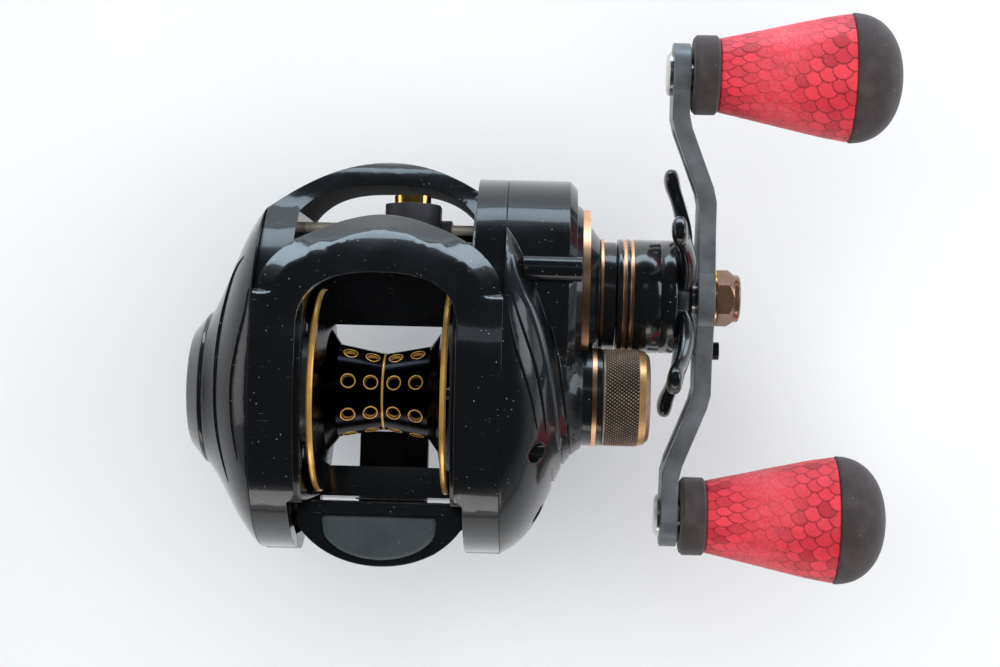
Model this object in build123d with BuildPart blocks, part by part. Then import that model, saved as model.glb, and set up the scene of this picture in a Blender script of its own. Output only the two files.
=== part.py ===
"""Low-profile baitcasting reel, as an assembly of separate pieces.

Millimetres. The origin is the centre of the spool, on its axis. +X points along the spool axis to the
handle side, +Y forward to where the line leaves, and +Z up, away from the rod.
"""

import math
import os

from build123d import *

os.makedirs("parts", exist_ok=True)

# ---------------------------------------------------------------- driving dimensions
# frame and shells
FRAME_HALF = 22.0  # the side plates meet the frame at this distance each side
BAY_HALF = 13.2  # inside face of each frame wall
HOOD_INSET = 2.5  # the hood's thickness
HOOD_FOOT_Z = 1.0  # the hood ends this high above the spool axis
FACET_TOP, FACET_FRONT = 4.2, 1.2  # the front facet's width on the hood's top and on its edge
WINDOW_HALF = 16.0  # half width of the line guide's window
SEAM = 0.06  # gap between pieces that butt together
SEAT_Z = -24.0  # underside of the foot, where the rod's seat touches
SEAT_TOP_Z = -21.4
FOOT_WIDTH = 13.5

# spool
FLANGE_R = 18.8
FLANGE_X = 12.3  # outer face of each flange
BAY_R = 19.4
ARBOR_R = 7.0
ARBOR_END_R = 8.6
ARBOR_END_X = 8.3
SPOOL_SHAFT_R = 1.25
HOLE_R = 1.0
HOLE_ROWS = 8
HOLE_FIRST_DEG = 77.0
HOLE_XS = (-6.15, -2.1, 2.1, 6.15)

# drive train
DRIVE_Y, DRIVE_Z = 19.2, -5.8  # drive shaft's axis
GEAR_TEETH, PINION_TEETH = 72, 10
CENTRES = math.hypot(DRIVE_Y, DRIVE_Z)
MODULE = 2 * CENTRES / (GEAR_TEETH + PINION_TEETH)
GEAR_X0, GEAR_X1 = 20.4, 23.4
GUIDE_GEAR_TEETH, WORM_GEAR_TEETH = 20, 16
GUIDE_MODULE = 0.5
GUIDE_CENTRES = GUIDE_MODULE * (GUIDE_GEAR_TEETH + WORM_GEAR_TEETH) / 2
WORM_DEG = -30.0  # direction from the drive shaft to the worm
WORM_Y = DRIVE_Y + GUIDE_CENTRES * math.cos(math.radians(WORM_DEG))
WORM_Z = DRIVE_Z + GUIDE_CENTRES * math.sin(math.radians(WORM_DEG))
DRUM_R = 21.3  # gear case
CAVITY_R = 18.6
DRUM_X0 = 16.5
CAVITY_X0 = 17.7
DRIVE_SHAFT_R = 3.0

# line guide
ROD_Y, ROD_Z, ROD_R = 30.5, -2.0, 0.95
WORM_R = 2.0
EYE_Z = 3.4  # the guide's eye
EYE_HALF_X, EYE_HALF_Z = 3.35, 2.7
GUIDE_X = 4.4  # where the guide stands at rest

# clutch
THUMB_FRONT_Y, THUMB_BACK_Y = -20.4, -32.2
THUMB_HALF = 15.2
CAM_TURN_DEG = 40.0
YOKE_POST_Z = 10.5

# handle
HANDLE_TILT_DEG = 6.0  # the forward knob stands this much higher at rest
KNOB_REACH = 41.65  # drive shaft to knob
CRANK_T = 3.2
CRANK_X = 60.6  # outer face at the middle
CRANK_END_X = 55.1  # outer face at the ends
KNOB_X0 = 55.7
POST_R = 2.0
LOCK_SCREW_REACH = 10.0
# (x, half width, half depth)
GRIP_SECTIONS = (
    (60.45, 6.9, 6.1),
    (66.0, 8.1, 6.8),
    (74.0, 9.9, 8.1),
    (80.5, 11.3, 9.2),
    (84.9, 12.0, 9.8),
)
CAP_SECTIONS = (
    (84.95, 12.1, 9.9),
    (88.4, 12.0, 9.8),
    (91.6, 10.9, 8.8),
    (93.6, 8.6, 6.8),
    (94.6, 5.6, 4.4),
)
CORE_STEP_X = 84.85  # the core is thinner from here on, inside the cap
FLANGE_KNOB_R = 7.4
STAR_ARMS = 5
STAR_FIRST_DEG = -10.0

# brake and cast control
DIAL_X0, DIAL_X1 = -31.76, -35.0
CAST_R = 9.1

# side plates: (x, how far the body's outline is drawn in towards a circle, the circle's radius)
PALM_SECTIONS = ((-22.06, 0.0, 14.3), (-26.5, 0.4, 14.3), (-30.0, 0.83, 14.3), (-31.7, 1.0, 14.3))
GEAR_SECTIONS = (
    (22.06, 0.0, 9.5),
    (26.5, 0.17, 9.5),
    (30.0, 0.47, 9.5),
    (32.6, 0.78, 9.5),
    (36.4, 1.0, 9.5),
)
RIB_GROOVES = ((31.2, 15.8), (32.8, 12.6), (34.3, 10.9))  # (x, radius of the groove's floor)
PLATE_SCREWS = ((-21.5, 3.0), (-13.5, -14.0), (-10.0, 16.5))  # (y, z)
PLATE_SCREW_X = 25.4  # under the screws' heads
PORT_Y, PORT_Z, PORT_R = 22.5, 15.7, 2.2  # oil port on the gear case
FOOT_SCREW_YS = (17.2, -18.2)
SCREW_R, SCREW_HEAD_R = 1.25, 2.3
THUMB_FLOOR_Z = -12.5
TAB_Y = -24.5
FACE_FRONT_Y = 33.0  # the side plates' seats end here
WINDOW_BACK_Y = 23.3

# positions along the spool axis inside the gear case
PINION_X0, PINION_X1 = 18.8, 26.0  # the teeth, long enough to stay in mesh as the pinion slides
PINION_SLEEVE_R = 2.4
CLUTCH_PIN_X = 19.0
YOKE_X0 = 26.15
YOKE_LEG_X = 18.9
SPRING_X0, SPRING_END_X = 27.6, 30.4
POST_END_X = 30.2

spool_axis = Axis.X
drive_axis = Axis((0, DRIVE_Y, DRIVE_Z), (1, 0, 0))
tilt = math.radians(HANDLE_TILT_DEG)
to_drive = math.atan2(DRIVE_Z, DRIVE_Y)  # direction from the spool's axis
to_worm = math.radians(WORM_DEG)  # direction from the drive shaft's axis


def along_x(y=0.0, z=0.0):
    """The plane for turned profiles drawn as (x, radius) about the axis through (y, z)."""
    return Plane(origin=(0, y, z), x_dir=(1, 0, 0), z_dir=(0, 0, 1))


def across_x(x, y=0.0, z=0.0):
    """The plane across the spool axis at x, whose own axes are +Y and +Z."""
    return Plane(origin=(x, y, z), x_dir=(0, 1, 0), z_dir=(1, 0, 0))


def finish(piece, label):
    """Labels the piece and writes its file."""
    piece.part.label = label
    export_step(piece.part, f"parts/{label}.step")
    return piece


def turned(label, profile, y=0.0, z=0.0):
    """A round piece from its (x, radius) outline, written out."""
    with BuildPart() as piece:
        with BuildSketch(along_x(y, z)):
            with BuildLine():
                Polyline(*profile, close=True)
            make_face()
        revolve(axis=Axis((0, y, z), (1, 0, 0)))
    return finish(piece, label)


def tube_profile(x0, x1, r_in, r_out):
    """The outline of a plain tube."""
    return [(x0, r_in), (x1, r_in), (x1, r_out), (x0, r_out)]


def handle_face(x):
    """The plane across the drive shaft at x whose first axis points along the handle."""
    return Plane(
        origin=(x, DRIVE_Y, DRIVE_Z), x_dir=(0, math.cos(tilt), math.sin(tilt)), z_dir=(1, 0, 0)
    )


def handle_side():
    """The plane through the handle's long axis whose own axes are x and the handle's length."""
    return Plane(
        origin=(0, DRIVE_Y, DRIVE_Z), x_dir=(1, 0, 0), z_dir=(0, -math.sin(tilt), math.cos(tilt))
    )


def knob_centre(reach):
    """Where a knob's axis crosses the (y, z) plane."""
    return (DRIVE_Y + reach * math.cos(tilt), DRIVE_Z + reach * math.sin(tilt))


def bearing(label, x0, x1, r_in, r_out, y=0.0, z=0.0):
    """A shielded ball bearing: inner race, outer race and balls, which don't touch."""
    wall = (r_out - r_in) / 4
    r_ball = (r_in + r_out) / 2
    with BuildPart() as piece:
        for low, high in ((r_in, r_in + wall), (r_out - wall, r_out)):
            with BuildSketch(across_x(x0, y, z)):
                Circle(high)
                Circle(low, mode=Mode.SUBTRACT)
            extrude(amount=x1 - x0)
        with Locations(across_x((x0 + x1) / 2, y, z)):
            with PolarLocations(r_ball, 7):
                Sphere(wall * 0.92)
    return finish(piece, label)


def spur_outline(teeth, module, thin, add=1.0, ded=1.15, phase=0.0):
    """The closed outline of a spur gear, four corners and a mid-flank point to each tooth.

    thin is taken off each tooth's thickness at the pitch circle, for backlash.
    """
    pitch_r = teeth * module / 2
    half = math.pi / (2 * teeth) - thin / (2 * pitch_r)
    steps = (
        (pitch_r - ded * module, 1.55),
        (pitch_r, 1.0),
        (pitch_r + add * module, 0.42),
    )
    points = []
    for k in range(teeth):
        middle = phase + 2 * math.pi * k / teeth
        left = [(r, middle - half * w) for r, w in steps]
        right = [(r, middle + half * w) for r, w in reversed(steps)]
        points += [(r * math.cos(a), r * math.sin(a)) for r, a in left + right]
    return points


# ---------------------------------------------------------------- side outline of the body
# (y, z, inset): the inset says how far the frame lies inside the body there, under the hood.
OUTLINE = [
    (-29.5, -3.0, 0.0),
    (-27.6, 6.0, HOOD_INSET),
    (-21.5, 14.8, HOOD_INSET),
    (-11.5, 21.0, HOOD_INSET),
    (0.0, 23.0, HOOD_INSET),
    (11.0, 22.4, HOOD_INSET),
    (21.0, 19.4, HOOD_INSET),
    (31.0, 12.6, HOOD_INSET),
    (37.0, 5.4, 1.2),
    (42.0, 1.0, 0.0),
    (43.3, -4.5, 0.0),
    (41.0, -10.5, 0.0),
    (34.5, -15.0, 0.0),
    (24.0, -18.6, 0.0),
    (12.0, -20.8, 0.0),
    (0.0, -21.4, 0.0),
    (-11.0, -20.8, 0.0),
    (-20.0, -17.4, 0.0),
    (-26.6, -11.2, 0.0),
]
PLATE_OUTLINE = [
    (-29.5, -3.0),
    (-27.6, 6.0),
    (-21.5, 14.8),
    (-11.5, 21.0),
    (0.0, 23.0),
    (11.0, 22.4),
    (21.0, 19.4),
    (29.3, 13.4),
    (33.3, 6.0),
    (34.0, -3.0),
    (32.3, -11.5),
    (26.0, -17.2),
    (12.0, -20.8),
    (0.0, -21.4),
    (-11.0, -20.8),
    (-20.0, -17.4),
    (-26.6, -11.2),
]


def outline(extra=0.0, share=1.0):
    """The side outline, moved inwards by share of each point's own inset and by extra."""
    n = len(OUTLINE)
    points = []
    for i, (y, z, inset) in enumerate(OUTLINE):
        before, after = OUTLINE[i - 1], OUTLINE[(i + 1) % n]
        ty, tz = after[0] - before[0], after[1] - before[1]
        size = math.hypot(ty, tz)
        move = inset * share + extra
        points.append((y + move * tz / size, z - move * ty / size))
    return points


FRONT_CURVE = [(-22.0, 33.0), (-12.3, 39.6), (0.0, 42.7), (12.3, 39.6), (22.0, 33.0)]


# ---------------------------------------------------------------- frame
with BuildPart() as frame:
    # the side walls and the arch share one side outline
    with BuildSketch(across_x(-FRAME_HALF)):
        with BuildLine():
            Spline(*outline(), periodic=True)
        make_face()
        with BuildSketch(mode=Mode.PRIVATE) as lower:
            with BuildLine():
                Spline(*outline(share=0.0), periodic=True)
            make_face()
            with Locations((-40, HOOD_FOOT_Z - 30)):
                Rectangle(80, 60, mode=Mode.INTERSECT)
        add(lower.sketch)
    extrude(amount=2 * FRAME_HALF)
    # rounded front, seen from above
    with BuildSketch(Plane.XY.offset(-30)):
        with BuildLine():
            Spline(*FRONT_CURVE)
            Polyline(
                (FRAME_HALF, FACE_FRONT_Y),
                (FRAME_HALF, -40),
                (-FRAME_HALF, -40),
                (-FRAME_HALF, FACE_FRONT_Y),
            )
        make_face()
    extrude(amount=60, mode=Mode.INTERSECT)
    # bay between the walls, and the line guide's window in front of it
    with BuildSketch(Plane.XY.offset(-30)):
        with Locations((0, -10)):
            Rectangle(2 * BAY_HALF, 70)
        with BuildLine():
            Spline(
                (-WINDOW_HALF, 32.5), (-12.5, 35.7), (0.0, 38.1), (12.5, 35.7), (WINDOW_HALF, 32.5)
            )
            Polyline(
                (WINDOW_HALF, 32.5),
                (WINDOW_HALF, WINDOW_BACK_Y),
                (-WINDOW_HALF, WINDOW_BACK_Y),
                (-WINDOW_HALF, 32.5),
            )
        make_face()
    extrude(amount=60, mode=Mode.SUBTRACT)
    # room for the spool's left flange, the brake rotor and the magnet holder
    with BuildSketch(across_x(-FRAME_HALF)):
        Circle(BAY_R)
    extrude(amount=FRAME_HALF - BAY_HALF, mode=Mode.SUBTRACT)
    # frame's half of the gear case
    with BuildSketch(across_x(DRUM_X0, DRIVE_Y, DRIVE_Z)):
        Circle(DRUM_R)
    extrude(amount=FRAME_HALF - DRUM_X0)
    # lower cross bars, with a pad under each for the foot
    for bar in (
        [(12.8, -16.2), (19.0, -15.0), (29.0, -14.2), (31.6, -14.6), (29.5, -17.0), (14.0, -20.4)],
        [(-14.6, -14.6), (-20.4, -13.6), (-21.0, -16.4), (-15.5, -19.4)],
    ):
        with BuildSketch(across_x(-WINDOW_HALF - 0.5)):
            with BuildLine():
                Polyline(*bar, close=True)
            make_face()
        extrude(amount=2 * WINDOW_HALF + 1)
    with Locations((0, 17.2, SEAT_TOP_Z), (0, -18.2, SEAT_TOP_Z)):
        Box(FOOT_WIDTH, 6.0, 5.0, align=(Align.CENTER, Align.CENTER, Align.MIN))
    for y in FOOT_SCREW_YS:
        with Locations(Location((0, y, SEAT_TOP_Z))):
            Cylinder(
                SCREW_R + 0.02, 4.4, align=(Align.CENTER, Align.CENTER, Align.MIN), mode=Mode.SUBTRACT
            )
    # gear cavity, with room for the pinion, cam and yoke
    with BuildSketch(across_x(CAVITY_X0)):
        with Locations((DRIVE_Y, DRIVE_Z)):
            Circle(CAVITY_R)
        Circle(9.0)
        Rectangle(9.0, 26.0)
    extrude(amount=FRAME_HALF - CAVITY_X0, mode=Mode.SUBTRACT)
    # seats for the middle spool bearing, the drive shaft's bearing and the worm's bush
    with BuildSketch(across_x(14.6)):
        Circle(4.02)
        with Locations((DRIVE_Y, DRIVE_Z)):
            Circle(4.52)
    extrude(amount=4, mode=Mode.SUBTRACT)
    with BuildSketch(across_x(BAY_HALF - 1)):
        Circle(2.6)
    extrude(amount=4, mode=Mode.SUBTRACT)
    for x in (-WINDOW_HALF - 1.7, WINDOW_HALF - 0.2):
        with BuildSketch(across_x(x, WORM_Y, WORM_Z)):
            Circle(3.02)
        extrude(amount=2.1, mode=Mode.SUBTRACT)
    with BuildSketch(across_x(-WINDOW_HALF - 1.5, ROD_Y, ROD_Z)):
        Circle(ROD_R + 0.02)
    extrude(amount=2 * WINDOW_HALF + 3.0, mode=Mode.SUBTRACT)
    # rear relief between the arms, where the thumb bar slides, and a slot each side for its tabs
    with Locations((0, -27.1, THUMB_FLOOR_Z)):
        Box(2 * THUMB_HALF + 0.6, 14, 40, align=(Align.CENTER, Align.CENTER, Align.MIN), mode=Mode.SUBTRACT)
    with Locations((0, TAB_Y, -5.2)):
        Box(34.6, 4.2, 40, align=(Align.CENTER, Align.CENTER, Align.MIN), mode=Mode.SUBTRACT)
    # side plate screws' holes
    for y, z in PLATE_SCREWS:
        with BuildSketch(across_x(17.0, y, z)):
            Circle(1.02)
        extrude(amount=6, mode=Mode.SUBTRACT)
    # yoke posts
    with BuildSketch(across_x(CAVITY_X0 - 0.5)):
        with Locations((0, YOKE_POST_Z), (0, -YOKE_POST_Z)):
            Circle(1.0)
    extrude(amount=POST_END_X - CAVITY_X0 + 0.5)
finish(frame, "frame")

# ---------------------------------------------------------------- hood over the frame
with BuildPart() as hood:
    with BuildSketch(across_x(-FRAME_HALF)):
        with BuildLine():
            Spline(*outline(share=0.0), periodic=True)
        make_face()
        with BuildLine():
            Spline(*outline(extra=-SEAM), periodic=True)
        make_face(mode=Mode.SUBTRACT)
        with Locations((0, HOOD_FOOT_Z + SEAM - 30)):
            Rectangle(120, 60, mode=Mode.SUBTRACT)
        with Locations((32.4 + 20, 0)):
            Rectangle(40, 60, mode=Mode.SUBTRACT)
    extrude(amount=2 * FRAME_HALF)
    # front edge and the opening over the spool, seen from above
    with BuildSketch(Plane.XY.offset(-5)):
        with BuildLine():
            Spline(
                (-FRAME_HALF, 17.5),
                (-18.5, 24.2),
                (-10.5, 29.3),
                (0, 32.0),
                (10.5, 29.3),
                (18.5, 24.2),
                (FRAME_HALF, 17.5),
            )
            Polyline((FRAME_HALF, 17.5), (FRAME_HALF, -40), (-FRAME_HALF, -40), (-FRAME_HALF, 17.5))
        make_face()
        with BuildLine():
            Spline((-14.0, 12.0), (-12.0, 17.4), (0, 21.0), (12.0, 17.4), (14.0, 12.0))
            Polyline(
                (14.0, 12.0),
                (14.0, -19.0),
                (THUMB_HALF + 0.3, -20.0),
                (THUMB_HALF + 0.3, -41),
                (-THUMB_HALF - 0.3, -41),
                (-THUMB_HALF - 0.3, -20.0),
                (-14.0, -19.0),
                (-14.0, 12.0),
            )
        make_face(mode=Mode.SUBTRACT)
    extrude(amount=40, mode=Mode.INTERSECT)
    # facet along the front edge
    front_edge = hood.edges().filter_by(
        lambda edge: edge.bounding_box().max.Y > 31 and edge.bounding_box().max.Z > 20
    )
    top_face = hood.faces().filter_by(lambda face: face.center().Z > 15).sort_by(SortBy.AREA)[-1]
    chamfer(front_edge, length=FACET_TOP, length2=FACET_FRONT, reference=top_face)
    # the gear case stands through the hood's right shoulder
    with BuildSketch(across_x(DRUM_X0 - SEAM, DRIVE_Y, DRIVE_Z)):
        Circle(DRUM_R + SEAM)
    extrude(amount=10, mode=Mode.SUBTRACT)
finish(hood, "hood")

# ---------------------------------------------------------------- foot
# a front and a rear toe, each screwed up into its cross bar
for label, screw_y, tip_y, heel_y in (
    ("foot_front", FOOT_SCREW_YS[0], 28.0, 14.2),
    ("foot_rear", FOOT_SCREW_YS[1], -34.5, -8.0),
):
    out = 1 if tip_y > heel_y else -1
    with BuildPart() as toe:
        with BuildSketch(Plane.XY.offset(SEAT_Z)):
            with BuildLine():
                Polyline(
                    (-FOOT_WIDTH / 2, tip_y - 6.5 * out),
                    (-FOOT_WIDTH / 2, heel_y),
                    (FOOT_WIDTH / 2, heel_y),
                    (FOOT_WIDTH / 2, tip_y - 6.5 * out),
                )
                ThreePointArc(
                    (FOOT_WIDTH / 2, tip_y - 6.5 * out), (0, tip_y), (-FOOT_WIDTH / 2, tip_y - 6.5 * out)
                )
            make_face()
        extrude(amount=SEAT_TOP_Z - SEAM - SEAT_Z)
        # thinner towards the tip
        with BuildSketch(across_x(-FOOT_WIDTH)):
            with BuildLine():
                Polyline(
                    (screw_y + 5.0 * out, SEAT_TOP_Z),
                    (tip_y + out, SEAT_Z + 1.0),
                    (tip_y + out, SEAT_TOP_Z + 1),
                    (screw_y + 5.0 * out, SEAT_TOP_Z + 1),
                    close=True,
                )
            make_face()
        extrude(amount=2 * FOOT_WIDTH, mode=Mode.SUBTRACT)
        with Locations(Location((0, screw_y, SEAT_Z))):
            Cone(
                SCREW_HEAD_R + 0.04,
                SCREW_R + 0.04,
                1.3,
                align=(Align.CENTER, Align.CENTER, Align.MIN),
                mode=Mode.SUBTRACT,
            )
            Cylinder(
                SCREW_R + 0.02, 4, align=(Align.CENTER, Align.CENTER, Align.MIN), mode=Mode.SUBTRACT
            )
    finish(toe, label)

with BuildPart() as foot_screws:
    for y in FOOT_SCREW_YS:
        with Locations(Location((0, y, SEAT_Z + 0.05))):
            Cone(SCREW_HEAD_R - 0.05, SCREW_R, 1.2, align=(Align.CENTER, Align.CENTER, Align.MIN))
            Cylinder(SCREW_R, 6.6, align=(Align.CENTER, Align.CENTER, Align.MIN))
            with Locations((0, 0, 0)):
                Box(3.0, 0.6, 1.2, mode=Mode.SUBTRACT)
finish(foot_screws, "foot_screws")


# ---------------------------------------------------------------- side plates
def plate_section(x, share, end_r):
    """One section of a side plate: the body's outline drawn in by share towards a circle."""
    points = []
    for y, z in PLATE_OUTLINE:
        size = math.hypot(y, z)
        grown = size * (1 - share) + end_r * share
        points.append((y * grown / size, z * grown / size))
    with BuildSketch(across_x(x)) as section:
        with BuildLine():
            Spline(*points, periodic=True)
        make_face()
    return section.sketch


def plate_shell(sections):
    """The solid through a side plate's sections."""
    for x, share, end_r in sections:
        add(plate_section(x, share, end_r))
    loft()


with BuildPart() as palm_side_plate:
    plate_shell(PALM_SECTIONS)
    with BuildSketch(along_x()):
        with BuildLine():
            Polyline(
                (-21.0, 0),
                (-21.0, 18.9),
                (-24.5, 17.9),
                (-28.0, 13.6),
                (-29.3, 12.0),
                (-29.3, 0),
                close=True,
            )
        make_face()
    revolve(axis=spool_axis, mode=Mode.SUBTRACT)
    # bearing boss and the magnet holder's guide posts
    with BuildSketch(across_x(-30.0)):
        Circle(6.0)
    extrude(amount=5.6)
    with BuildSketch(across_x(-30.0)):
        with PolarLocations(14.2, 3, start_angle=90):
            Circle(0.7)
    extrude(amount=14.4)
    with BuildSketch(across_x(-29.3)):
        Circle(4.02)
    extrude(amount=6, mode=Mode.SUBTRACT)
    with BuildSketch(across_x(-33.0)):
        Circle(3.55)
    extrude(amount=5, mode=Mode.SUBTRACT)
finish(palm_side_plate, "palm_side_plate")

# the turned parts of the gear side plate
with BuildPart() as gear_towers:
    # gear case and the tower for the drive shaft
    with BuildSketch(along_x(DRIVE_Y, DRIVE_Z)):
        with BuildLine():
            Polyline(
                (22.06, 0),
                (22.06, DRUM_R),
                (33.4, DRUM_R),
                (34.8, 19.9),
                (34.8, 17.0),
                (35.94, 16.2),
                (35.94, 13.95),
                (37.36, 13.95),
                (37.36, 13.1),
                (39.44, 10.4),
                (39.96, 10.1),
                (42.2, 10.1),
                (42.2, 0),
                close=True,
            )
        make_face()
    revolve(axis=drive_axis)
    # cast control's collar and threaded boss
    with BuildSketch(along_x()):
        with BuildLine():
            Polyline(
                (30.0, 0),
                (30.0, 9.0),
                (40.05, 9.0),
                (40.05, 6.4),
                (44.0, 6.4),
                (44.0, 0),
                close=True,
            )
        make_face()
    revolve(axis=spool_axis)

# everything hollowed out of the gear side plate
with BuildPart() as gear_hollows:
    # gear cavity and the one-way bearing's seat
    with BuildSketch(along_x(DRIVE_Y, DRIVE_Z)):
        with BuildLine():
            Polyline(
                (21.0, 0),
                (21.0, CAVITY_R),
                (24.2, CAVITY_R),
                (24.2, 14.6),
                (26.2, 14.6),
                (26.2, 8.0),
                (31.9, 8.0),
                (31.9, 7.02),
                (41.1, 7.02),
                (41.1, 6.6),
                (43.0, 6.6),
                (43.0, 0),
                close=True,
            )
        make_face()
    revolve(axis=drive_axis)
    # it reaches further out ahead of the cast control
    with BuildSketch(across_x(24.0)):
        with Locations((DRIVE_Y, DRIVE_Z)):
            Circle(17.6)
        with Locations((8.5 - 25, 0)):
            Rectangle(50, 80, mode=Mode.SUBTRACT)
    extrude(amount=7.6)
    # the yoke's room
    with BuildSketch(across_x(21.0)):
        Circle(9.0)
        Rectangle(9.0, 26.0)
    extrude(amount=SPRING_END_X - 21.0)
    # pinion bearing, shaft bore and right spool bearing
    with BuildSketch(along_x()):
        with BuildLine():
            Polyline(
                (30.0, 0),
                (30.0, 4.52),
                (32.7, 4.52),
                (32.7, 2.7),
                (40.4, 2.7),
                (40.4, 4.02),
                (45.0, 4.02),
                (45.0, 0),
                close=True,
            )
        make_face()
    revolve(axis=spool_axis)
    # the two trims' grooves run through both towers
    for axis_y, axis_z, x0, x1, r_in in (
        (0, 0, 38.16, 39.04, 8.55),
        (DRIVE_Y, DRIVE_Z, 39.44, 39.96, 9.58),
    ):
        with BuildSketch(across_x(x0, axis_y, axis_z)):
            Circle(r_in + 1.2)
            Circle(r_in, mode=Mode.SUBTRACT)
        extrude(amount=x1 - x0)
    # the oil port's groove
    with BuildSketch(across_x(25.2, PORT_Y, PORT_Z)):
        Circle(PORT_R + 0.02)
    extrude(amount=12)
    # screws
    with BuildSketch(across_x(21.0)):
        with Locations(*PLATE_SCREWS):
            Circle(1.02)
    extrude(amount=20)
    with BuildSketch(across_x(PLATE_SCREW_X)):
        with Locations(*PLATE_SCREWS):
            Circle(1.75)
    extrude(amount=20)

with BuildPart() as gear_side_plate:
    plate_shell(GEAR_SECTIONS)
    # ribs around the cast control
    with BuildSketch(along_x()):
        for x, r in RIB_GROOVES:
            with Locations((x + 0.25, r + 10)):
                Rectangle(0.5, 20)
    revolve(axis=spool_axis, mode=Mode.SUBTRACT)
    add(gear_towers.part)
    add(gear_hollows.part, mode=Mode.SUBTRACT)
finish(gear_side_plate, "gear_side_plate")

with BuildPart() as gear_plate_screws:
    for y, z in PLATE_SCREWS:
        with BuildSketch(across_x(17.2, y, z)):
            Circle(1.0)
        extrude(amount=PLATE_SCREW_X + 0.2 - 17.2)
        with BuildSketch(across_x(PLATE_SCREW_X + 0.03, y, z)):
            Circle(1.7)
        extrude(amount=1.3)
        with BuildSketch(across_x(PLATE_SCREW_X + 0.8, y, z)):
            Rectangle(2.0, 0.5)
            Rectangle(0.5, 2.0)
        extrude(amount=1, mode=Mode.SUBTRACT)
finish(gear_plate_screws, "gear_plate_screws")

with BuildPart() as drive_trim_ring:
    with BuildSketch(across_x(35.98, DRIVE_Y, DRIVE_Z)):
        Circle(16.0)
        Circle(14.0, mode=Mode.SUBTRACT)
    extrude(amount=1.34)
    with BuildSketch(across_x(35.0)):
        Circle(10.3)
    extrude(amount=4, mode=Mode.SUBTRACT)
finish(drive_trim_ring, "drive_trim_ring")

turned("drive_collar_ring", tube_profile(39.46, 39.94, 9.6, 10.6), DRIVE_Y, DRIVE_Z)

with BuildPart() as cast_collar_ring:
    with BuildSketch(across_x(38.18)):
        Circle(9.15)
        Circle(8.57, mode=Mode.SUBTRACT)
    extrude(amount=0.84)
    with BuildSketch(across_x(38.0, DRIVE_Y, DRIVE_Z)):
        Circle(12.5)
    extrude(amount=2, mode=Mode.SUBTRACT)
finish(cast_collar_ring, "cast_collar_ring")

with BuildPart() as oil_port:
    with BuildSketch(across_x(25.25, PORT_Y, PORT_Z)):
        Circle(PORT_R)
    extrude(amount=10.4)
    with BuildSketch(across_x(35.0, PORT_Y, PORT_Z)):
        Rectangle(0.6, 3.0)
    extrude(amount=2, mode=Mode.SUBTRACT)
finish(oil_port, "oil_port")

# ---------------------------------------------------------------- bearings and bushes
bearing("spool_bearing_left", -27.2, -24.7, SPOOL_SHAFT_R + 0.02, 4.0)
bearing("spool_bearing_middle", 14.7, 17.2, SPOOL_SHAFT_R + 0.02, 4.0)
bearing("spool_bearing_right", 40.45, 42.95, SPOOL_SHAFT_R + 0.02, 4.0)
bearing("pinion_bearing", 30.45, 32.65, PINION_SLEEVE_R + 0.03, 4.5)
bearing("drive_shaft_bearing", 14.7, 17.6, DRIVE_SHAFT_R + 0.02, 4.5, DRIVE_Y, DRIVE_Z)

with BuildPart() as one_way_bearing:
    with BuildSketch(across_x(32.0, DRIVE_Y, DRIVE_Z)):
        Circle(7.0)
        Circle(6.3, mode=Mode.SUBTRACT)
    extrude(amount=9.0)
    with BuildSketch(across_x(32.5, DRIVE_Y, DRIVE_Z)):
        with PolarLocations(5.66, 8):
            Circle(0.55)
    extrude(amount=8.0)
finish(one_way_bearing, "one_way_bearing")

with BuildPart() as worm_bushings:
    for x in (-WINDOW_HALF - 1.65, WINDOW_HALF + 0.05):
        with BuildSketch(across_x(x, WORM_Y, WORM_Z)):
            Circle(3.0)
            Circle(1.25, mode=Mode.SUBTRACT)
        extrude(amount=1.6)
finish(worm_bushings, "worm_bushings")

with BuildPart() as guide_rod:
    with BuildSketch(across_x(-WINDOW_HALF - 1.45, ROD_Y, ROD_Z)):
        Circle(ROD_R)
    extrude(amount=2 * WINDOW_HALF + 2.9)
finish(guide_rod, "guide_rod")

# ---------------------------------------------------------------- spool
with BuildPart() as spool:
    half = [
        (0.0, ARBOR_R),
        (ARBOR_END_X, ARBOR_END_R),
        (10.2, 11.2),
        (11.2, 17.4),
        (11.2, FLANGE_R - 0.3),
        (11.5, FLANGE_R),
        (12.0, FLANGE_R),
        (FLANGE_X, FLANGE_R - 0.3),
        (FLANGE_X, 17.6),
        (11.1, 11.2),
        (8.9, 7.7),
        (1.0, 6.1),
        (1.0, 2.6),
        (4.2, 2.6),
        (4.2, SPOOL_SHAFT_R + 0.01),
    ]
    with BuildSketch(along_x()):
        with BuildLine():
            Polyline(*half, *[(-x, r) for x, r in reversed(half[1:])], close=True)
        make_face()
    revolve(axis=spool_axis)
    # rows of holes through the arbor
    for k in range(HOLE_ROWS):
        a = math.radians(HOLE_FIRST_DEG + 360 / HOLE_ROWS * k)
        for x in HOLE_XS:
            spot = Plane(
                origin=(x, 5.0 * math.cos(a), 5.0 * math.sin(a)),
                x_dir=(1, 0, 0),
                z_dir=(0, math.cos(a), math.sin(a)),
            )
            with BuildSketch(spot):
                Circle(HOLE_R)
            extrude(amount=5.0, mode=Mode.SUBTRACT)
finish(spool, "spool")

with BuildPart() as spool_shaft:
    with BuildSketch(across_x(-28.3)):
        Circle(SPOOL_SHAFT_R)
    extrude(amount=28.3 + 46.0)
    with Locations((CLUTCH_PIN_X, 0, 0)):
        Cylinder(0.51, 6, mode=Mode.SUBTRACT)
finish(spool_shaft, "spool_shaft")

with BuildPart() as clutch_pin:
    with Locations((CLUTCH_PIN_X, 0, 0)):
        Cylinder(0.5, 4.8)
finish(clutch_pin, "clutch_pin")

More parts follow.
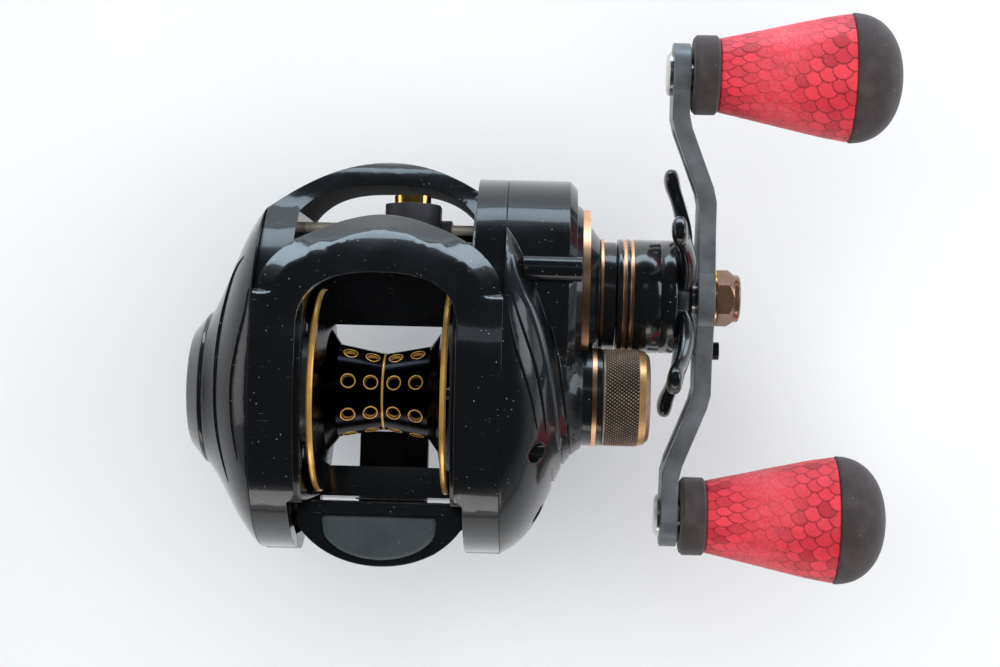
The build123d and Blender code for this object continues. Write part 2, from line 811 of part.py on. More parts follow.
turned(
    "brake_rotor",
    [
        (-13.4, SPOOL_SHAFT_R + 0.01),
        (-13.4, 9.8),
        (-19.0, 9.8),
        (-19.0, 9.1),
        (-14.2, 9.1),
        (-14.2, 3.0),
        (-15.6, 3.0),
        (-15.6, SPOOL_SHAFT_R + 0.01),
    ],
)

# ---------------------------------------------------------------- brake
with BuildPart() as brake_dial:
    with BuildSketch(along_x()):
        with BuildLine():
            Polyline(
                (-28.7, 0),
                (-28.7, 3.9),
                (-29.2, 3.9),
                (-29.2, 3.5),
                (DIAL_X0, 3.5),
                (DIAL_X0, 14.0),
                (DIAL_X0 - 0.7, 14.0),
                (DIAL_X1, 11.0),
                (DIAL_X1, 10.2),
                (DIAL_X1 + 0.5, 9.7),
                (DIAL_X1 + 0.5, 0),
                close=True,
            )
        make_face()
    revolve(axis=spool_axis)
finish(brake_dial, "brake_dial")

with BuildPart() as magnet_holder:
    with BuildSketch(across_x(-20.0)):
        Circle(13.2)
        with PolarLocations(14.2, 3, start_angle=90):
            Circle(1.6)
        Circle(10.3, mode=Mode.SUBTRACT)
        with PolarLocations(14.2, 3, start_angle=90):
            Circle(0.76, mode=Mode.SUBTRACT)
    extrude(amount=5.0)
    with BuildSketch(across_x(-19.2)):
        with PolarLocations(11.75, 8):
            Circle(1.02)
    extrude(amount=6.0, mode=Mode.SUBTRACT)
finish(magnet_holder, "magnet_holder")

with BuildPart() as brake_magnets:
    with BuildSketch(across_x(-19.15)):
        with PolarLocations(11.75, 8):
            Circle(1.0)
    extrude(amount=4.1)
finish(brake_magnets, "brake_magnets")

# ---------------------------------------------------------------- pinion and clutch
with BuildPart() as pinion_gear:
    with BuildSketch(across_x(PINION_X0)):
        with BuildLine():
            Polyline(
                *spur_outline(PINION_TEETH, MODULE, 0.12, phase=to_drive + math.pi / PINION_TEETH),
                close=True,
            )
        make_face()
    extrude(amount=PINION_X1 - PINION_X0)
    with BuildSketch(along_x()):
        with BuildLine():
            Polyline(
                (18.2, 0),
                (18.2, 2.7),
                (PINION_X0, 2.7),
                (PINION_X0, 1.8),
                (PINION_X1, 1.8),
                (PINION_X1, 1.9),
                (27.7, 1.9),
                (27.7, 3.0),
                (28.7, 3.0),
                (28.7, PINION_SLEEVE_R),
                (33.0, PINION_SLEEVE_R),
                (33.0, 0),
                close=True,
            )
        make_face()
    revolve(axis=spool_axis)
    with BuildSketch(across_x(17.0)):
        Circle(SPOOL_SHAFT_R + 0.05)
    extrude(amount=20, mode=Mode.SUBTRACT)
    with Locations((17.0 + 1.3, 0, 0)):
        Box(2.6, 1.1, 8, mode=Mode.SUBTRACT)
finish(pinion_gear, "pinion_gear")

with BuildPart() as clutch_yoke:
    with BuildSketch(across_x(YOKE_X0)):
        Rectangle(7.0, 17.0)
        with Locations((0, YOKE_POST_Z), (0, -YOKE_POST_Z)):
            Circle(1.9)
        with Locations((0, YOKE_POST_Z - 2), (0, 2 - YOKE_POST_Z)):
            Rectangle(3.8, 4)
        Circle(2.0, mode=Mode.SUBTRACT)
        with Locations((-3, 0)):
            Rectangle(6, 4.0, mode=Mode.SUBTRACT)
        with Locations((0, YOKE_POST_Z), (0, -YOKE_POST_Z)):
            Circle(1.05, mode=Mode.SUBTRACT)
    extrude(amount=1.4)
    # legs that stand on the cam
    with BuildSketch(across_x(YOKE_LEG_X)):
        with Locations((-0.2, 6.3), (-0.2, -6.3)):
            Rectangle(1.6, 2.0)
    extrude(amount=YOKE_X0 + 0.5 - YOKE_LEG_X)
finish(clutch_yoke, "clutch_yoke")

with BuildPart() as yoke_springs:
    for z in (YOKE_POST_Z, -YOKE_POST_Z):
        with BuildLine() as coil:
            Helix(0.72, 2.16, 1.45, center=(SPRING_X0 + 0.25, 0, z), direction=(1, 0, 0))
        with BuildSketch(Plane(origin=coil.line @ 0, z_dir=coil.line % 0)):
            Circle(0.17)
        sweep()
finish(yoke_springs, "yoke_springs")

# cam ring with a ramp for each leg, turned back from under the legs at rest
with BuildPart() as clutch_cam:
    with BuildSketch(across_x(17.8)):
        Circle(8.2)
        Circle(4.4, mode=Mode.SUBTRACT)
    extrude(amount=0.9)
    for turn in (0, 180):
        a = math.radians(turn - CAM_TURN_DEG)
        ramp = Plane(
            origin=(0, 0, 0), x_dir=(0, math.cos(a), math.sin(a)), z_dir=(0, -math.sin(a), math.cos(a))
        )
        with BuildSketch(ramp.offset(4.9)):
            with BuildLine():
                Polyline((-2.6, -18.6), (0.2, -19.9), (1.6, -19.9), (1.6, -18.6), close=True)
            make_face()
        extrude(amount=2.8)
finish(clutch_cam, "clutch_cam")

# ---------------------------------------------------------------- thumb bar
THUMB_TOP = [(THUMB_FRONT_Y, 5.2), (-22.3, 5.8), (THUMB_BACK_Y, 3.0)]
with BuildPart() as thumb_bar:
    with BuildSketch(across_x(-THUMB_HALF)):
        with BuildLine():
            Polyline(
                *THUMB_TOP, (THUMB_BACK_Y, 0.6), (-29.0, -0.8), (THUMB_FRONT_Y, -0.2), close=True
            )
        make_face()
    extrude(amount=2 * THUMB_HALF)
    with BuildSketch(Plane.XY.offset(-5)):
        with BuildLine():
            Polyline(
                (-THUMB_HALF, -24.5),
                (-THUMB_HALF, THUMB_FRONT_Y),
                (THUMB_HALF, THUMB_FRONT_Y),
                (THUMB_HALF, -24.5),
            )
            Spline(
                (THUMB_HALF, -24.5),
                (10.5, -29.3),
                (0, THUMB_BACK_Y),
                (-10.5, -29.3),
                (-THUMB_HALF, -24.5),
            )
        make_face()
    extrude(amount=20, mode=Mode.INTERSECT)
    with Locations((0, TAB_Y + 0.6, 0)):
        Box(33.8, 2.4, 3.2, align=(Align.CENTER, Align.CENTER, Align.MIN))
finish(thumb_bar, "thumb_bar")

with BuildPart() as thumb_pad:
    with BuildSketch(across_x(-12.0)):
        with BuildLine():
            Polyline(
                (-22.7, 5.74),
                (-22.7, 6.3),
                (-23.6, 7.0),
                (-29.8, 5.1),
                (-31.2, 4.1),
                (-31.2, 3.35),
                close=True,
            )
        make_face()
    extrude(amount=24.0)
    with BuildSketch(Plane.XY.offset(0)):
        with BuildLine():
            Polyline((-10.2, -26.0), (-10.6, -22.7), (10.6, -22.7), (10.2, -26.0))
            Spline((10.2, -26.0), (6.4, -29.6), (0, -31.0), (-6.4, -29.6), (-10.2, -26.0))
        make_face()
    extrude(amount=20, mode=Mode.INTERSECT)
finish(thumb_pad, "thumb_pad")

# ---------------------------------------------------------------- line guide
# one turn of the worm's groove, cut as a leaning disc's rim
with BuildPart() as groove:
    Cylinder(4.0, 0.8)
    Cylinder(1.5, 0.8, mode=Mode.SUBTRACT)

with BuildPart() as worm_shaft:
    with BuildSketch(along_x(WORM_Y, WORM_Z)):
        with BuildLine():
            Polyline(
                (-WINDOW_HALF - 1.6, 0),
                (-WINDOW_HALF - 1.6, 1.2),
                (-WINDOW_HALF + 0.3, 1.2),
                (-WINDOW_HALF + 0.3, WORM_R),
                (WINDOW_HALF - 0.3, WORM_R),
                (WINDOW_HALF - 0.3, 1.2),
                (20.4, 1.2),
                (20.4, 0),
                close=True,
            )
        make_face()
    revolve(axis=Axis((0, WORM_Y, WORM_Z), (1, 0, 0)))
    # crossed grooves
    for lean in (-32, 32):
        for k in range(-3, 4):
            add(
                groove.part.moved(Location((k * 3.9, WORM_Y, WORM_Z), (0, 90, lean))),
                mode=Mode.SUBTRACT,
            )
finish(worm_shaft, "worm_shaft")

with BuildPart() as worm_gear:
    with BuildSketch(across_x(18.0, WORM_Y, WORM_Z)):
        with BuildLine():
            Polyline(
                *spur_outline(
                    WORM_GEAR_TEETH,
                    GUIDE_MODULE,
                    0.1,
                    phase=to_worm + math.pi + math.pi / WORM_GEAR_TEETH,
                ),
                close=True,
            )
        make_face()
        Circle(1.21, mode=Mode.SUBTRACT)
    extrude(amount=1.8)
finish(worm_gear, "worm_gear")

with BuildPart() as line_guide:
    with BuildSketch(across_x(GUIDE_X - 7.0)):
        with BuildLine():
            Polyline(
                (24.3, -13.4),
                (29.7, -13.4),
                (31.6, -11.0),
                (32.4, -3.6),
                (31.6, -0.6),
                (29.6, -0.6),
                (28.2, -5.6),
                (24.3, -7.4),
                close=True,
            )
        make_face()
    extrude(amount=14.0)
    # neck and eye, rounded seen from the front
    with BuildSketch(Plane(origin=(GUIDE_X, 28.4, 0), x_dir=(1, 0, 0), z_dir=(0, -1, 0))):
        with BuildLine():
            Polyline((-5.1, -2.0), (-5.1, 2.6))
            ThreePointArc((-5.1, 2.6), (0, 7.4), (5.1, 2.6))
            Polyline((5.1, 2.6), (5.1, -2.0), (-5.1, -2.0))
        make_face()
    extrude(amount=-6.2)
    with BuildSketch(across_x(GUIDE_X - 8)):
        with Locations((WORM_Y, WORM_Z)):
            Circle(WORM_R + 0.06)
        with Locations((ROD_Y, ROD_Z)):
            Circle(ROD_R + 0.05)
    extrude(amount=16, mode=Mode.SUBTRACT)
    with BuildSketch(Plane(origin=(GUIDE_X, 27.0, EYE_Z), x_dir=(1, 0, 0), z_dir=(0, -1, 0))):
        Ellipse(EYE_HALF_X + 0.02, EYE_HALF_Z + 0.02)
    extrude(amount=-10, mode=Mode.SUBTRACT)
    with Locations((GUIDE_X, WORM_Y, -14)):
        Cylinder(1.12, 2.4, align=(Align.CENTER, Align.CENTER, Align.MIN), mode=Mode.SUBTRACT)
finish(line_guide, "line_guide")

with BuildPart() as guide_insert:
    with BuildSketch(Plane(origin=(GUIDE_X, 28.0, EYE_Z), x_dir=(1, 0, 0), z_dir=(0, -1, 0))):
        Ellipse(EYE_HALF_X, EYE_HALF_Z)
    extrude(amount=-8.1)
    with BuildSketch(Plane(origin=(GUIDE_X, 27.0, EYE_Z), x_dir=(1, 0, 0), z_dir=(0, -1, 0))):
        Ellipse(2.2, 1.6)
    extrude(amount=-10, mode=Mode.SUBTRACT)
finish(guide_insert, "guide_insert")

with BuildPart() as pawl:
    with Locations((GUIDE_X, WORM_Y, -13.5)):
        Cylinder(1.05, WORM_Z - WORM_R - 0.06 + 13.5, align=(Align.CENTER, Align.CENTER, Align.MIN))
finish(pawl, "pawl")

# ---------------------------------------------------------------- drive shaft and drag
with BuildPart() as drive_shaft:
    with BuildSketch(along_x(DRIVE_Y, DRIVE_Z)):
        with BuildLine():
            Polyline(
                (14.8, 0),
                (14.8, DRIVE_SHAFT_R),
                (19.85, DRIVE_SHAFT_R),
                (19.85, 4.4),
                (20.35, 4.4),
                (20.35, DRIVE_SHAFT_R),
                (64.6, DRIVE_SHAFT_R),
                (65.0, 2.6),
                (65.0, 0),
                close=True,
            )
        make_face()
    revolve(axis=drive_axis)
    # flats that carry the crank
    for side in (1, -1):
        with BuildSketch(handle_face(57.2)):
            with Locations((0, side * (2.5 + 2))):
                Rectangle(8, 4)
        extrude(amount=10, mode=Mode.SUBTRACT)
finish(drive_shaft, "drive_shaft")

with BuildPart() as level_wind_gear:
    with BuildSketch(across_x(18.0, DRIVE_Y, DRIVE_Z)):
        with BuildLine():
            Polyline(
                *spur_outline(GUIDE_GEAR_TEETH, GUIDE_MODULE, 0.1, phase=to_worm), close=True
            )
        make_face()
        Circle(DRIVE_SHAFT_R + 0.01, mode=Mode.SUBTRACT)
    extrude(amount=1.8)
finish(level_wind_gear, "level_wind_gear")

with BuildPart() as drive_gear:
    with BuildSketch(across_x(GEAR_X0, DRIVE_Y, DRIVE_Z)):
        with BuildLine():
            Polyline(
                *spur_outline(GEAR_TEETH, MODULE, 0.12, phase=to_drive + math.pi), close=True
            )
        make_face()
        Circle(DRIVE_SHAFT_R + 0.01, mode=Mode.SUBTRACT)
    extrude(amount=GEAR_X1 - GEAR_X0)
    # the drag washers' recess
    with BuildSketch(across_x(GEAR_X0 + 1.0, DRIVE_Y, DRIVE_Z)):
        Circle(14.4)
    extrude(amount=5, mode=Mode.SUBTRACT)
finish(drive_gear, "drive_gear")

with BuildPart() as drag_washers:
    for x in (21.42, 23.1):
        with BuildSketch(across_x(x, DRIVE_Y, DRIVE_Z)):
            Circle(14.2)
            Circle(4.2, mode=Mode.SUBTRACT)
        extrude(amount=0.8)
finish(drag_washers, "drag_washers")

with BuildPart() as drag_plate:
    for x, thick in ((22.24, 0.84), (23.92, 1.4)):
        with BuildSketch(across_x(x, DRIVE_Y, DRIVE_Z)):
            Circle(14.1)
            Circle(DRIVE_SHAFT_R + 0.02, mode=Mode.SUBTRACT)
        extrude(amount=thick)
finish(drag_plate, "drag_plate")

turned("anti_reverse_sleeve", tube_profile(25.34, 41.8, DRIVE_SHAFT_R + 0.02, 5.05), DRIVE_Y, DRIVE_Z)

# four cupped washers, in pairs
turned(
    "spring_washers",
    [
        (41.84, DRIVE_SHAFT_R + 0.04),
        (42.5, 6.2),
        (42.9, 6.2),
        (43.5, DRIVE_SHAFT_R + 1.2),
        (44.1, 6.2),
        (44.5, 6.2),
        (45.1, DRIVE_SHAFT_R + 0.04),
    ],
    DRIVE_Y,
    DRIVE_Z,
)

# ---------------------------------------------------------------- star drag
with BuildPart() as star_drag:
    with BuildSketch(across_x(50.0, DRIVE_Y, DRIVE_Z)):
        for k in range(STAR_ARMS):
            a = math.radians(STAR_FIRST_DEG + 360 / STAR_ARMS * k)
            side = (-math.sin(a), math.cos(a))
            out = (math.cos(a), math.sin(a))
            with BuildLine():
                Polyline(
                    *[
                        (out[0] * r + side[0] * w, out[1] * r + side[1] * w)
                        for r, w in (
                            (3.0, 4.6),
                            (9.5, 3.6),
                            (14.0, 2.3),
                            (22.0, 2.2),
                            (22.0, -2.2),
                            (14.0, -2.3),
                            (9.5, -3.6),
                            (3.0, -4.6),
                        )
                    ],
                    close=True,
                )
            make_face()
            with Locations((22.2 * out[0], 22.2 * out[1])):
                Circle(2.8)
        Circle(9.8)
    extrude(amount=8)
    # the arms' dished section
    with BuildSketch(along_x(DRIVE_Y, DRIVE_Z)):
        with BuildLine():
            Polyline(
                (52.6, 0),
                (57.0, 0),
                (57.0, 15.0),
                (56.3, 18.6),
                (54.7, 22.4),
                (54.2, 26.0),
                (51.4, 26.0),
                (51.2, 23.5),
                (51.9, 20.4),
                (53.6, 15.5),
                (53.8, 10.0),
                (52.6, 10.0),
                close=True,
            )
        make_face()
    revolve(axis=drive_axis, mode=Mode.INTERSECT)
    # barrel
    with BuildSketch(along_x(DRIVE_Y, DRIVE_Z)):
        with BuildLine():
            Polyline(
                (42.35, 0),
                (42.35, 10.3),
                (42.7, 10.7),
                (43.55, 10.7),
                (43.55, 10.55),
                (44.2, 10.55),
                (44.2, 10.7),
                (44.9, 10.7),
                (44.9, 10.55),
                (45.5, 10.55),
                (45.5, 10.7),
                (50.4, 10.7),
                (50.4, 10.55),
                (50.6, 10.55),
                (50.6, 10.7),
                (53.2, 10.7),
                (53.6, 10.3),
                (53.6, 0),
                close=True,
            )
        make_face()
    revolve(axis=drive_axis)
    with BuildSketch(along_x(DRIVE_Y, DRIVE_Z)):
        with BuildLine():
            Polyline(
                (40.0, 0),
                (40.0, 6.6),
                (45.2, 6.6),
                (45.2, DRIVE_SHAFT_R + 0.05),
                (60.0, DRIVE_SHAFT_R + 0.05),
                (60.0, 0),
                close=True,
            )
        make_face()
    revolve(axis=drive_axis, mode=Mode.SUBTRACT)
finish(star_drag, "star_drag")

# ---------------------------------------------------------------- handle
with BuildPart() as handle_crank:
    # swept in towards the ends
    side_profile = [
        (CRANK_X, 18.0),
        (60.0, 20.6),
        (55.7, 31.6),
        (CRANK_END_X, 34.2),
        (CRANK_END_X, KNOB_REACH + 8),
        (CRANK_END_X - CRANK_T, KNOB_REACH + 8),
        (CRANK_END_X - CRANK_T, 33.4),
        (52.6, 30.6),
        (56.9, 19.6),
        (CRANK_X - CRANK_T, 17.4),
    ]
    with BuildSketch(handle_side()):
        with BuildLine():
            Polyline(*side_profile, *[(x, -y) for x, y in reversed(side_profile)], close=True)
        make_face()
    extrude(amount=12, both=True)
    # outline seen along the shaft
    with BuildSketch(handle_face(45.0)):
        edge = [(0.0, 7.0), (5.0, 6.6), (12.0, 4.9), (22.0, 4.4), (33.0, 4.5), (KNOB_REACH, 5.2)]
        with BuildLine():
            Polyline(
                *edge,
                *[(y, -z) for y, z in reversed(edge)],
                *[(-y, -z) for y, z in edge[1:]],
                *[(-y, z) for y, z in reversed(edge[1:])],
                close=True,
            )
        make_face()
        Circle(8.2)
        for reach in (KNOB_REACH, -KNOB_REACH):
            with Locations((reach, 0)):
                Circle(5.85)
    extrude(amount=20, mode=Mode.INTERSECT)
    # lightening slots, the knob posts' holes and the lock screw's hole
    with BuildSketch(handle_face(45.0)):
        for reach in (KNOB_REACH, -KNOB_REACH):
            with Locations((reach, 0)):
                Circle(POST_R + 0.02)
            with Locations((reach * 0.6, 0)):
                SlotOverall(13.0, 3.4)
        with Locations((-LOCK_SCREW_REACH, 0)):
            Circle(1.02)
    extrude(amount=20, mode=Mode.SUBTRACT)
    # bore with two flats
    with BuildSketch(handle_face(45.0)):
        Circle(DRIVE_SHAFT_R + 0.02)
        Rectangle(8, 5.04, mode=Mode.INTERSECT)
    extrude(amount=20, mode=Mode.SUBTRACT)
finish(handle_crank, "handle_crank")

turned("handle_washer", tube_profile(60.64, 61.14, DRIVE_SHAFT_R + 0.04, 5.5), DRIVE_Y, DRIVE_Z)

with BuildPart() as handle_nut:
    with BuildSketch(handle_face(61.18)):
        RegularPolygon(5.35, 6)
    extrude(amount=4.5)
    with BuildSketch(along_x(DRIVE_Y, DRIVE_Z)):
        with BuildLine():
            Polyline(
                (61.18, 0),
                (61.18, 5.0),
                (61.6, 5.5),
                (63.2, 5.5),
                (64.5, 4.5),
                (65.4, 4.4),
                (65.68, 4.0),
                (65.68, 0),
                close=True,
            )
        make_face()
    revolve(axis=drive_axis, mode=Mode.INTERSECT)
    with BuildSketch(handle_face(61.0)):
        Circle(DRIVE_SHAFT_R + 0.03)
    extrude(amount=4.05, mode=Mode.SUBTRACT)
finish(handle_nut, "handle_nut")

with BuildPart() as nut_lock_screw:
    with BuildSketch(handle_face(57.6)):
        with Locations((-LOCK_SCREW_REACH, 0)):
            Circle(1.0)
    extrude(amount=3.1)
    with BuildSketch(handle_face(60.64)):
        with Locations((-LOCK_SCREW_REACH, 0)):
            Circle(1.7)
    extrude(amount=1.5)
    with BuildSketch(handle_face(61.7)):
        with Locations((-LOCK_SCREW_REACH, 0)):
            Rectangle(0.5, 2.4)
            Rectangle(2.4, 0.5)
    extrude(amount=1, mode=Mode.SUBTRACT)
finish(nut_lock_screw, "nut_lock_screw")

with BuildPart() as knob_posts:
    for reach in (KNOB_REACH, -KNOB_REACH):
        y, z = knob_centre(reach)
        with BuildSketch(along_x(y, z)):
            with BuildLine():
                Polyline(
                    (50.9, 0),
                    (50.9, 3.4),
                    (51.3, 4.0),
                    (51.84, 4.0),
                    (51.84, POST_R),
                    (91.6, POST_R),
                    (91.6, 3.0),
                    (92.5, 3.0),
                    (92.5, 0),
                    close=True,
                )
            make_face()
        revolve(axis=Axis((0, y, z), (1, 0, 0)))
finish(knob_posts, "knob_posts")

# ---------------------------------------------------------------- knobs
for place, reach in (("front", KNOB_REACH), ("rear", -KNOB_REACH)):
    y, z = knob_centre(reach)

    turned(
        f"knob_core_{place}",
        [
            (KNOB_X0, 3.52),
            (KNOB_X0, FLANGE_KNOB_R - 0.6),
            (KNOB_X0 + 0.6, FLANGE_KNOB_R),
            (59.9, FLANGE_KNOB_R),
            (60.4, FLANGE_KNOB_R - 0.5),
            (60.4, 5.2),
            (CORE_STEP_X, 5.2),
            (CORE_STEP_X, 4.6),
            (91.2, 4.6),
            (91.2, 3.52),
            (88.4, 3.52),
            (88.4, 2.4),
            (58.6, 2.4),
            (58.6, 3.52),
        ],
        y,
        z,
    )

    with BuildPart() as knob_grip:
        for x, wide, deep in GRIP_SECTIONS:
            with BuildSketch(across_x(x, y, z)):
                Ellipse(wide, deep)
        loft()
        with BuildSketch(across_x(60.0, y, z)):
            Circle(5.22)
        extrude(amount=30, mode=Mode.SUBTRACT)
    finish(knob_grip, f"knob_grip_{place}")

    with BuildPart() as knob_cap:
        for x, wide, deep in CAP_SECTIONS:
            with BuildSketch(across_x(x, y, z)):
                Ellipse(wide, deep)
        loft()
        with BuildSketch(across_x(CORE_STEP_X - 0.5, y, z)):
            Circle(4.62)
        extrude(amount=92.7 - CORE_STEP_X + 0.5, mode=Mode.SUBTRACT)
    finish(knob_cap, f"knob_cap_{place}")

    with BuildPart() as knob_bearings:
        for x in (56.2, 88.5):
            for low, high in ((POST_R + 0.02, 2.45), (3.1, 3.5)):
                with BuildSketch(across_x(x, y, z)):
                    Circle(high)
                    Circle(low, mode=Mode.SUBTRACT)
                extrude(amount=2.3)
            with Locations(across_x(x + 1.15, y, z)):
                with PolarLocations(2.775, 7):
                    Sphere(0.3)
    finish(knob_bearings, f"knob_bearings_{place}")

# ---------------------------------------------------------------- cast control
with BuildPart() as cast_control_knob:
    with BuildSketch(along_x()):
        with BuildLine():
            Polyline(
                (40.12, 6.46),
                (40.12, CAST_R - 0.3),
                (40.4, CAST_R),
                (46.7, CAST_R),
                (46.75, CAST_R - 0.15),
                (48.0, CAST_R - 0.5),
                (48.7, 7.9),
                (48.8, 7.4),
                (48.5, 6.6),
                (48.5, 0),
                (46.4, 0),
                (46.4, 1.6),
                (44.3, 1.6),
                (44.3, 6.46),
                close=True,
            )
        make_face()
    revolve(axis=spool_axis)
finish(cast_control_knob, "cast_control_knob")
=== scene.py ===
"""A baitcasting reel, dressed for the camera: every CAD piece gets its own finish. The grips, caps, star
drag, thumb pad and knurled knob are built as meshes in their CAD pieces' places, and the spool's eyelets
and the side plates' ribs are added."""

import math

import bpy
import numpy as np
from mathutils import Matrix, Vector
from mathutils.bvhtree import BVHTree


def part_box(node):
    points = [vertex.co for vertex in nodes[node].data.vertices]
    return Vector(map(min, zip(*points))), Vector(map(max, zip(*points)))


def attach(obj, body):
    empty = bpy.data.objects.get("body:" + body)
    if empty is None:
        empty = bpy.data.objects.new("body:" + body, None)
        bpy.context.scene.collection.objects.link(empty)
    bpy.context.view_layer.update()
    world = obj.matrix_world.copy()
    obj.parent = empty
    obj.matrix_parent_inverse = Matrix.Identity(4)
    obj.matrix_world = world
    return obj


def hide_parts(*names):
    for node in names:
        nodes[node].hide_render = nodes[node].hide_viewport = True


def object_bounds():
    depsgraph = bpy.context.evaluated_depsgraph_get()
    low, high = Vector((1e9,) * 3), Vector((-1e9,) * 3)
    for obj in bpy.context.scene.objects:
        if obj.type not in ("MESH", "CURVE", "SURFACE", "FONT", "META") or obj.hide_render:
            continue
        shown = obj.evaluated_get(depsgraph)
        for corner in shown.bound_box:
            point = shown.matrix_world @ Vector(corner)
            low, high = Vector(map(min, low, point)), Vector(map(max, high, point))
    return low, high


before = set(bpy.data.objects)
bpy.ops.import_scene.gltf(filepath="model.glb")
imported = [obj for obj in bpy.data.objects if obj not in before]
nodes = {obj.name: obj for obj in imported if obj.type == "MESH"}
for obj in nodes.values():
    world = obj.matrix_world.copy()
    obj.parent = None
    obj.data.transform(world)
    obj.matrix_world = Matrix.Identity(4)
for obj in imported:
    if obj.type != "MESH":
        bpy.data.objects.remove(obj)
cad_low, cad_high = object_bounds()

MM = 0.001
SEED = 7


def centre(node):
    """The middle of a CAD node's box, in metres."""
    low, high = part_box(node)
    return (low + high) / 2


# ---------------------------------------------------------------- camera
CAMERA_AT = Vector((29.88, 1.02, 319.0)) * MM
CAMERA_TURN = (0.033, 0.027, 0.026)  # radians
SENSOR_MM = 36.0
FOCAL_SHARE = 1.7185  # focal length as a share of the picture's width
CLIP_NEAR, CLIP_FAR = 0.01, 20.0

camera_data = bpy.data.cameras.new("camera")
camera_data.sensor_width = SENSOR_MM
camera_data.lens = SENSOR_MM * FOCAL_SHARE
camera_data.clip_start = CLIP_NEAR
camera_data.clip_end = CLIP_FAR
camera = bpy.data.objects.new("camera", camera_data)
camera.location = CAMERA_AT
camera.rotation_euler = CAMERA_TURN
bpy.context.scene.collection.objects.link(camera)
bpy.context.scene.camera = camera


# ---------------------------------------------------------------- node graphs
class Graph:
    """A material's node tree, with the few kinds of node that the finishes use."""

    def __init__(self, name):
        self.material = bpy.data.materials.new(name)
        self.material.use_nodes = True
        self.tree = self.material.node_tree
        self.shader = self.tree.nodes["Principled BSDF"]
        self.place = self.tree.nodes.new("ShaderNodeTexCoord").outputs["Object"]
        self.normal = None

    def node(self, kind, inputs=(), **settings):
        """A node with its settings made and its inputs set or linked."""
        made = self.tree.nodes.new(kind)
        for key, value in settings.items():
            setattr(made, key, value)
        for key, value in dict(inputs).items():
            self.feed(made.inputs[key], value)
        return made

    def feed(self, socket, value):
        """Links an output to the socket, or sets the socket's own value."""
        if isinstance(value, bpy.types.NodeSocket):
            self.tree.links.new(value, socket)
        else:
            socket.default_value = value

    def stretched(self, scale):
        """The object's coordinates, each axis times its own scale."""
        return self.node("ShaderNodeMapping", {"Vector": self.place, "Scale": scale}).outputs["Vector"]

    def noise(self, size_mm, detail=3.0, stretch=(1, 1, 1), rough=0.5):
        """Noise from 0 to 1 whose features are about size_mm across."""
        scale = tuple(s / (size_mm * MM) for s in stretch)
        inputs = {"Vector": self.stretched(scale), "Scale": 1.0, "Detail": detail, "Roughness": rough}
        return self.node("ShaderNodeTexNoise", inputs).outputs["Fac"]

    def cells(self, size_mm, feature="F1"):
        """Distance from the nearest of scattered points about size_mm apart, as a share of that."""
        scale = (1 / (size_mm * MM),) * 3
        inputs = {"Vector": self.stretched(scale), "Scale": 1.0}
        return self.node("ShaderNodeTexVoronoi", inputs, feature=feature).outputs["Distance"]

    def attribute(self, name):
        """A value that the mesh holds at each point."""
        return self.node("ShaderNodeAttribute", attribute_name=name).outputs["Fac"]

    def map(self, value, low, high, out_low=0.0, out_high=1.0):
        """value from low..high, clamped and mapped to out_low..out_high."""
        inputs = {"Value": value, "From Min": low, "From Max": high, "To Min": out_low, "To Max": out_high}
        return self.node("ShaderNodeMapRange", inputs).outputs["Result"]

    def maths(self, operation, a, b):
        """One arithmetic step."""
        return self.node("ShaderNodeMath", {0: a, 1: b}, operation=operation).outputs["Value"]

    def mix(self, share, a, b):
        """Colour a, changing to b as share goes to 1."""
        made = self.node("ShaderNodeMix", data_type="RGBA")
        self.feed(made.inputs["Factor"], share)
        self.feed(made.inputs["A"], a)
        self.feed(made.inputs["B"], b)
        return made.outputs["Result"]

    def bump(self, height, depth_mm, strength=1.0):
        """Adds relief of about that depth."""
        inputs = {"Height": height, "Distance": depth_mm * MM, "Strength": strength}
        if self.normal is not None:
            inputs["Normal"] = self.normal
        self.normal = self.node("ShaderNodeBump", inputs).outputs["Normal"]

    def finish(self, **sockets):
        """Sets the shader's sockets and gives the material."""
        names = {
            "colour": "Base Color",
            "rough": "Roughness",
            "metal": "Metallic",
            "coat": "Coat Weight",
            "coat_rough": "Coat Roughness",
            "specular": "Specular IOR Level",
            "tint": "Specular Tint",
            "sheen": "Sheen Weight",
            "sheen_rough": "Sheen Roughness",
            "anisotropic": "Anisotropic",
        }
        for key, value in sockets.items():
            self.feed(self.shader.inputs[names[key]], value)
        if self.normal is not None:
            self.feed(self.shader.inputs["Normal"], self.normal)
        return self.material


def rgb(r, g, b):
    """A colour with full alpha."""
    return (r, g, b, 1.0)


def shade(colour, factor):
    """The colour made lighter or darker."""
    return rgb(*(min(1.0, c * factor) for c in colour[:3]))


DUST = rgb(0.42, 0.42, 0.4)


def dust(graph, colour, amount):
    """Scattered pale specks and fibres over a colour."""
    specks = graph.map(graph.cells(1.15), 0.05, 0.085, 1.0, 0.0)
    where = graph.map(graph.noise(9.0, 2.0), 0.62 - 0.2 * amount, 0.75 - 0.2 * amount)
    return graph.mix(graph.maths("MULTIPLY", specks, where), colour, DUST)


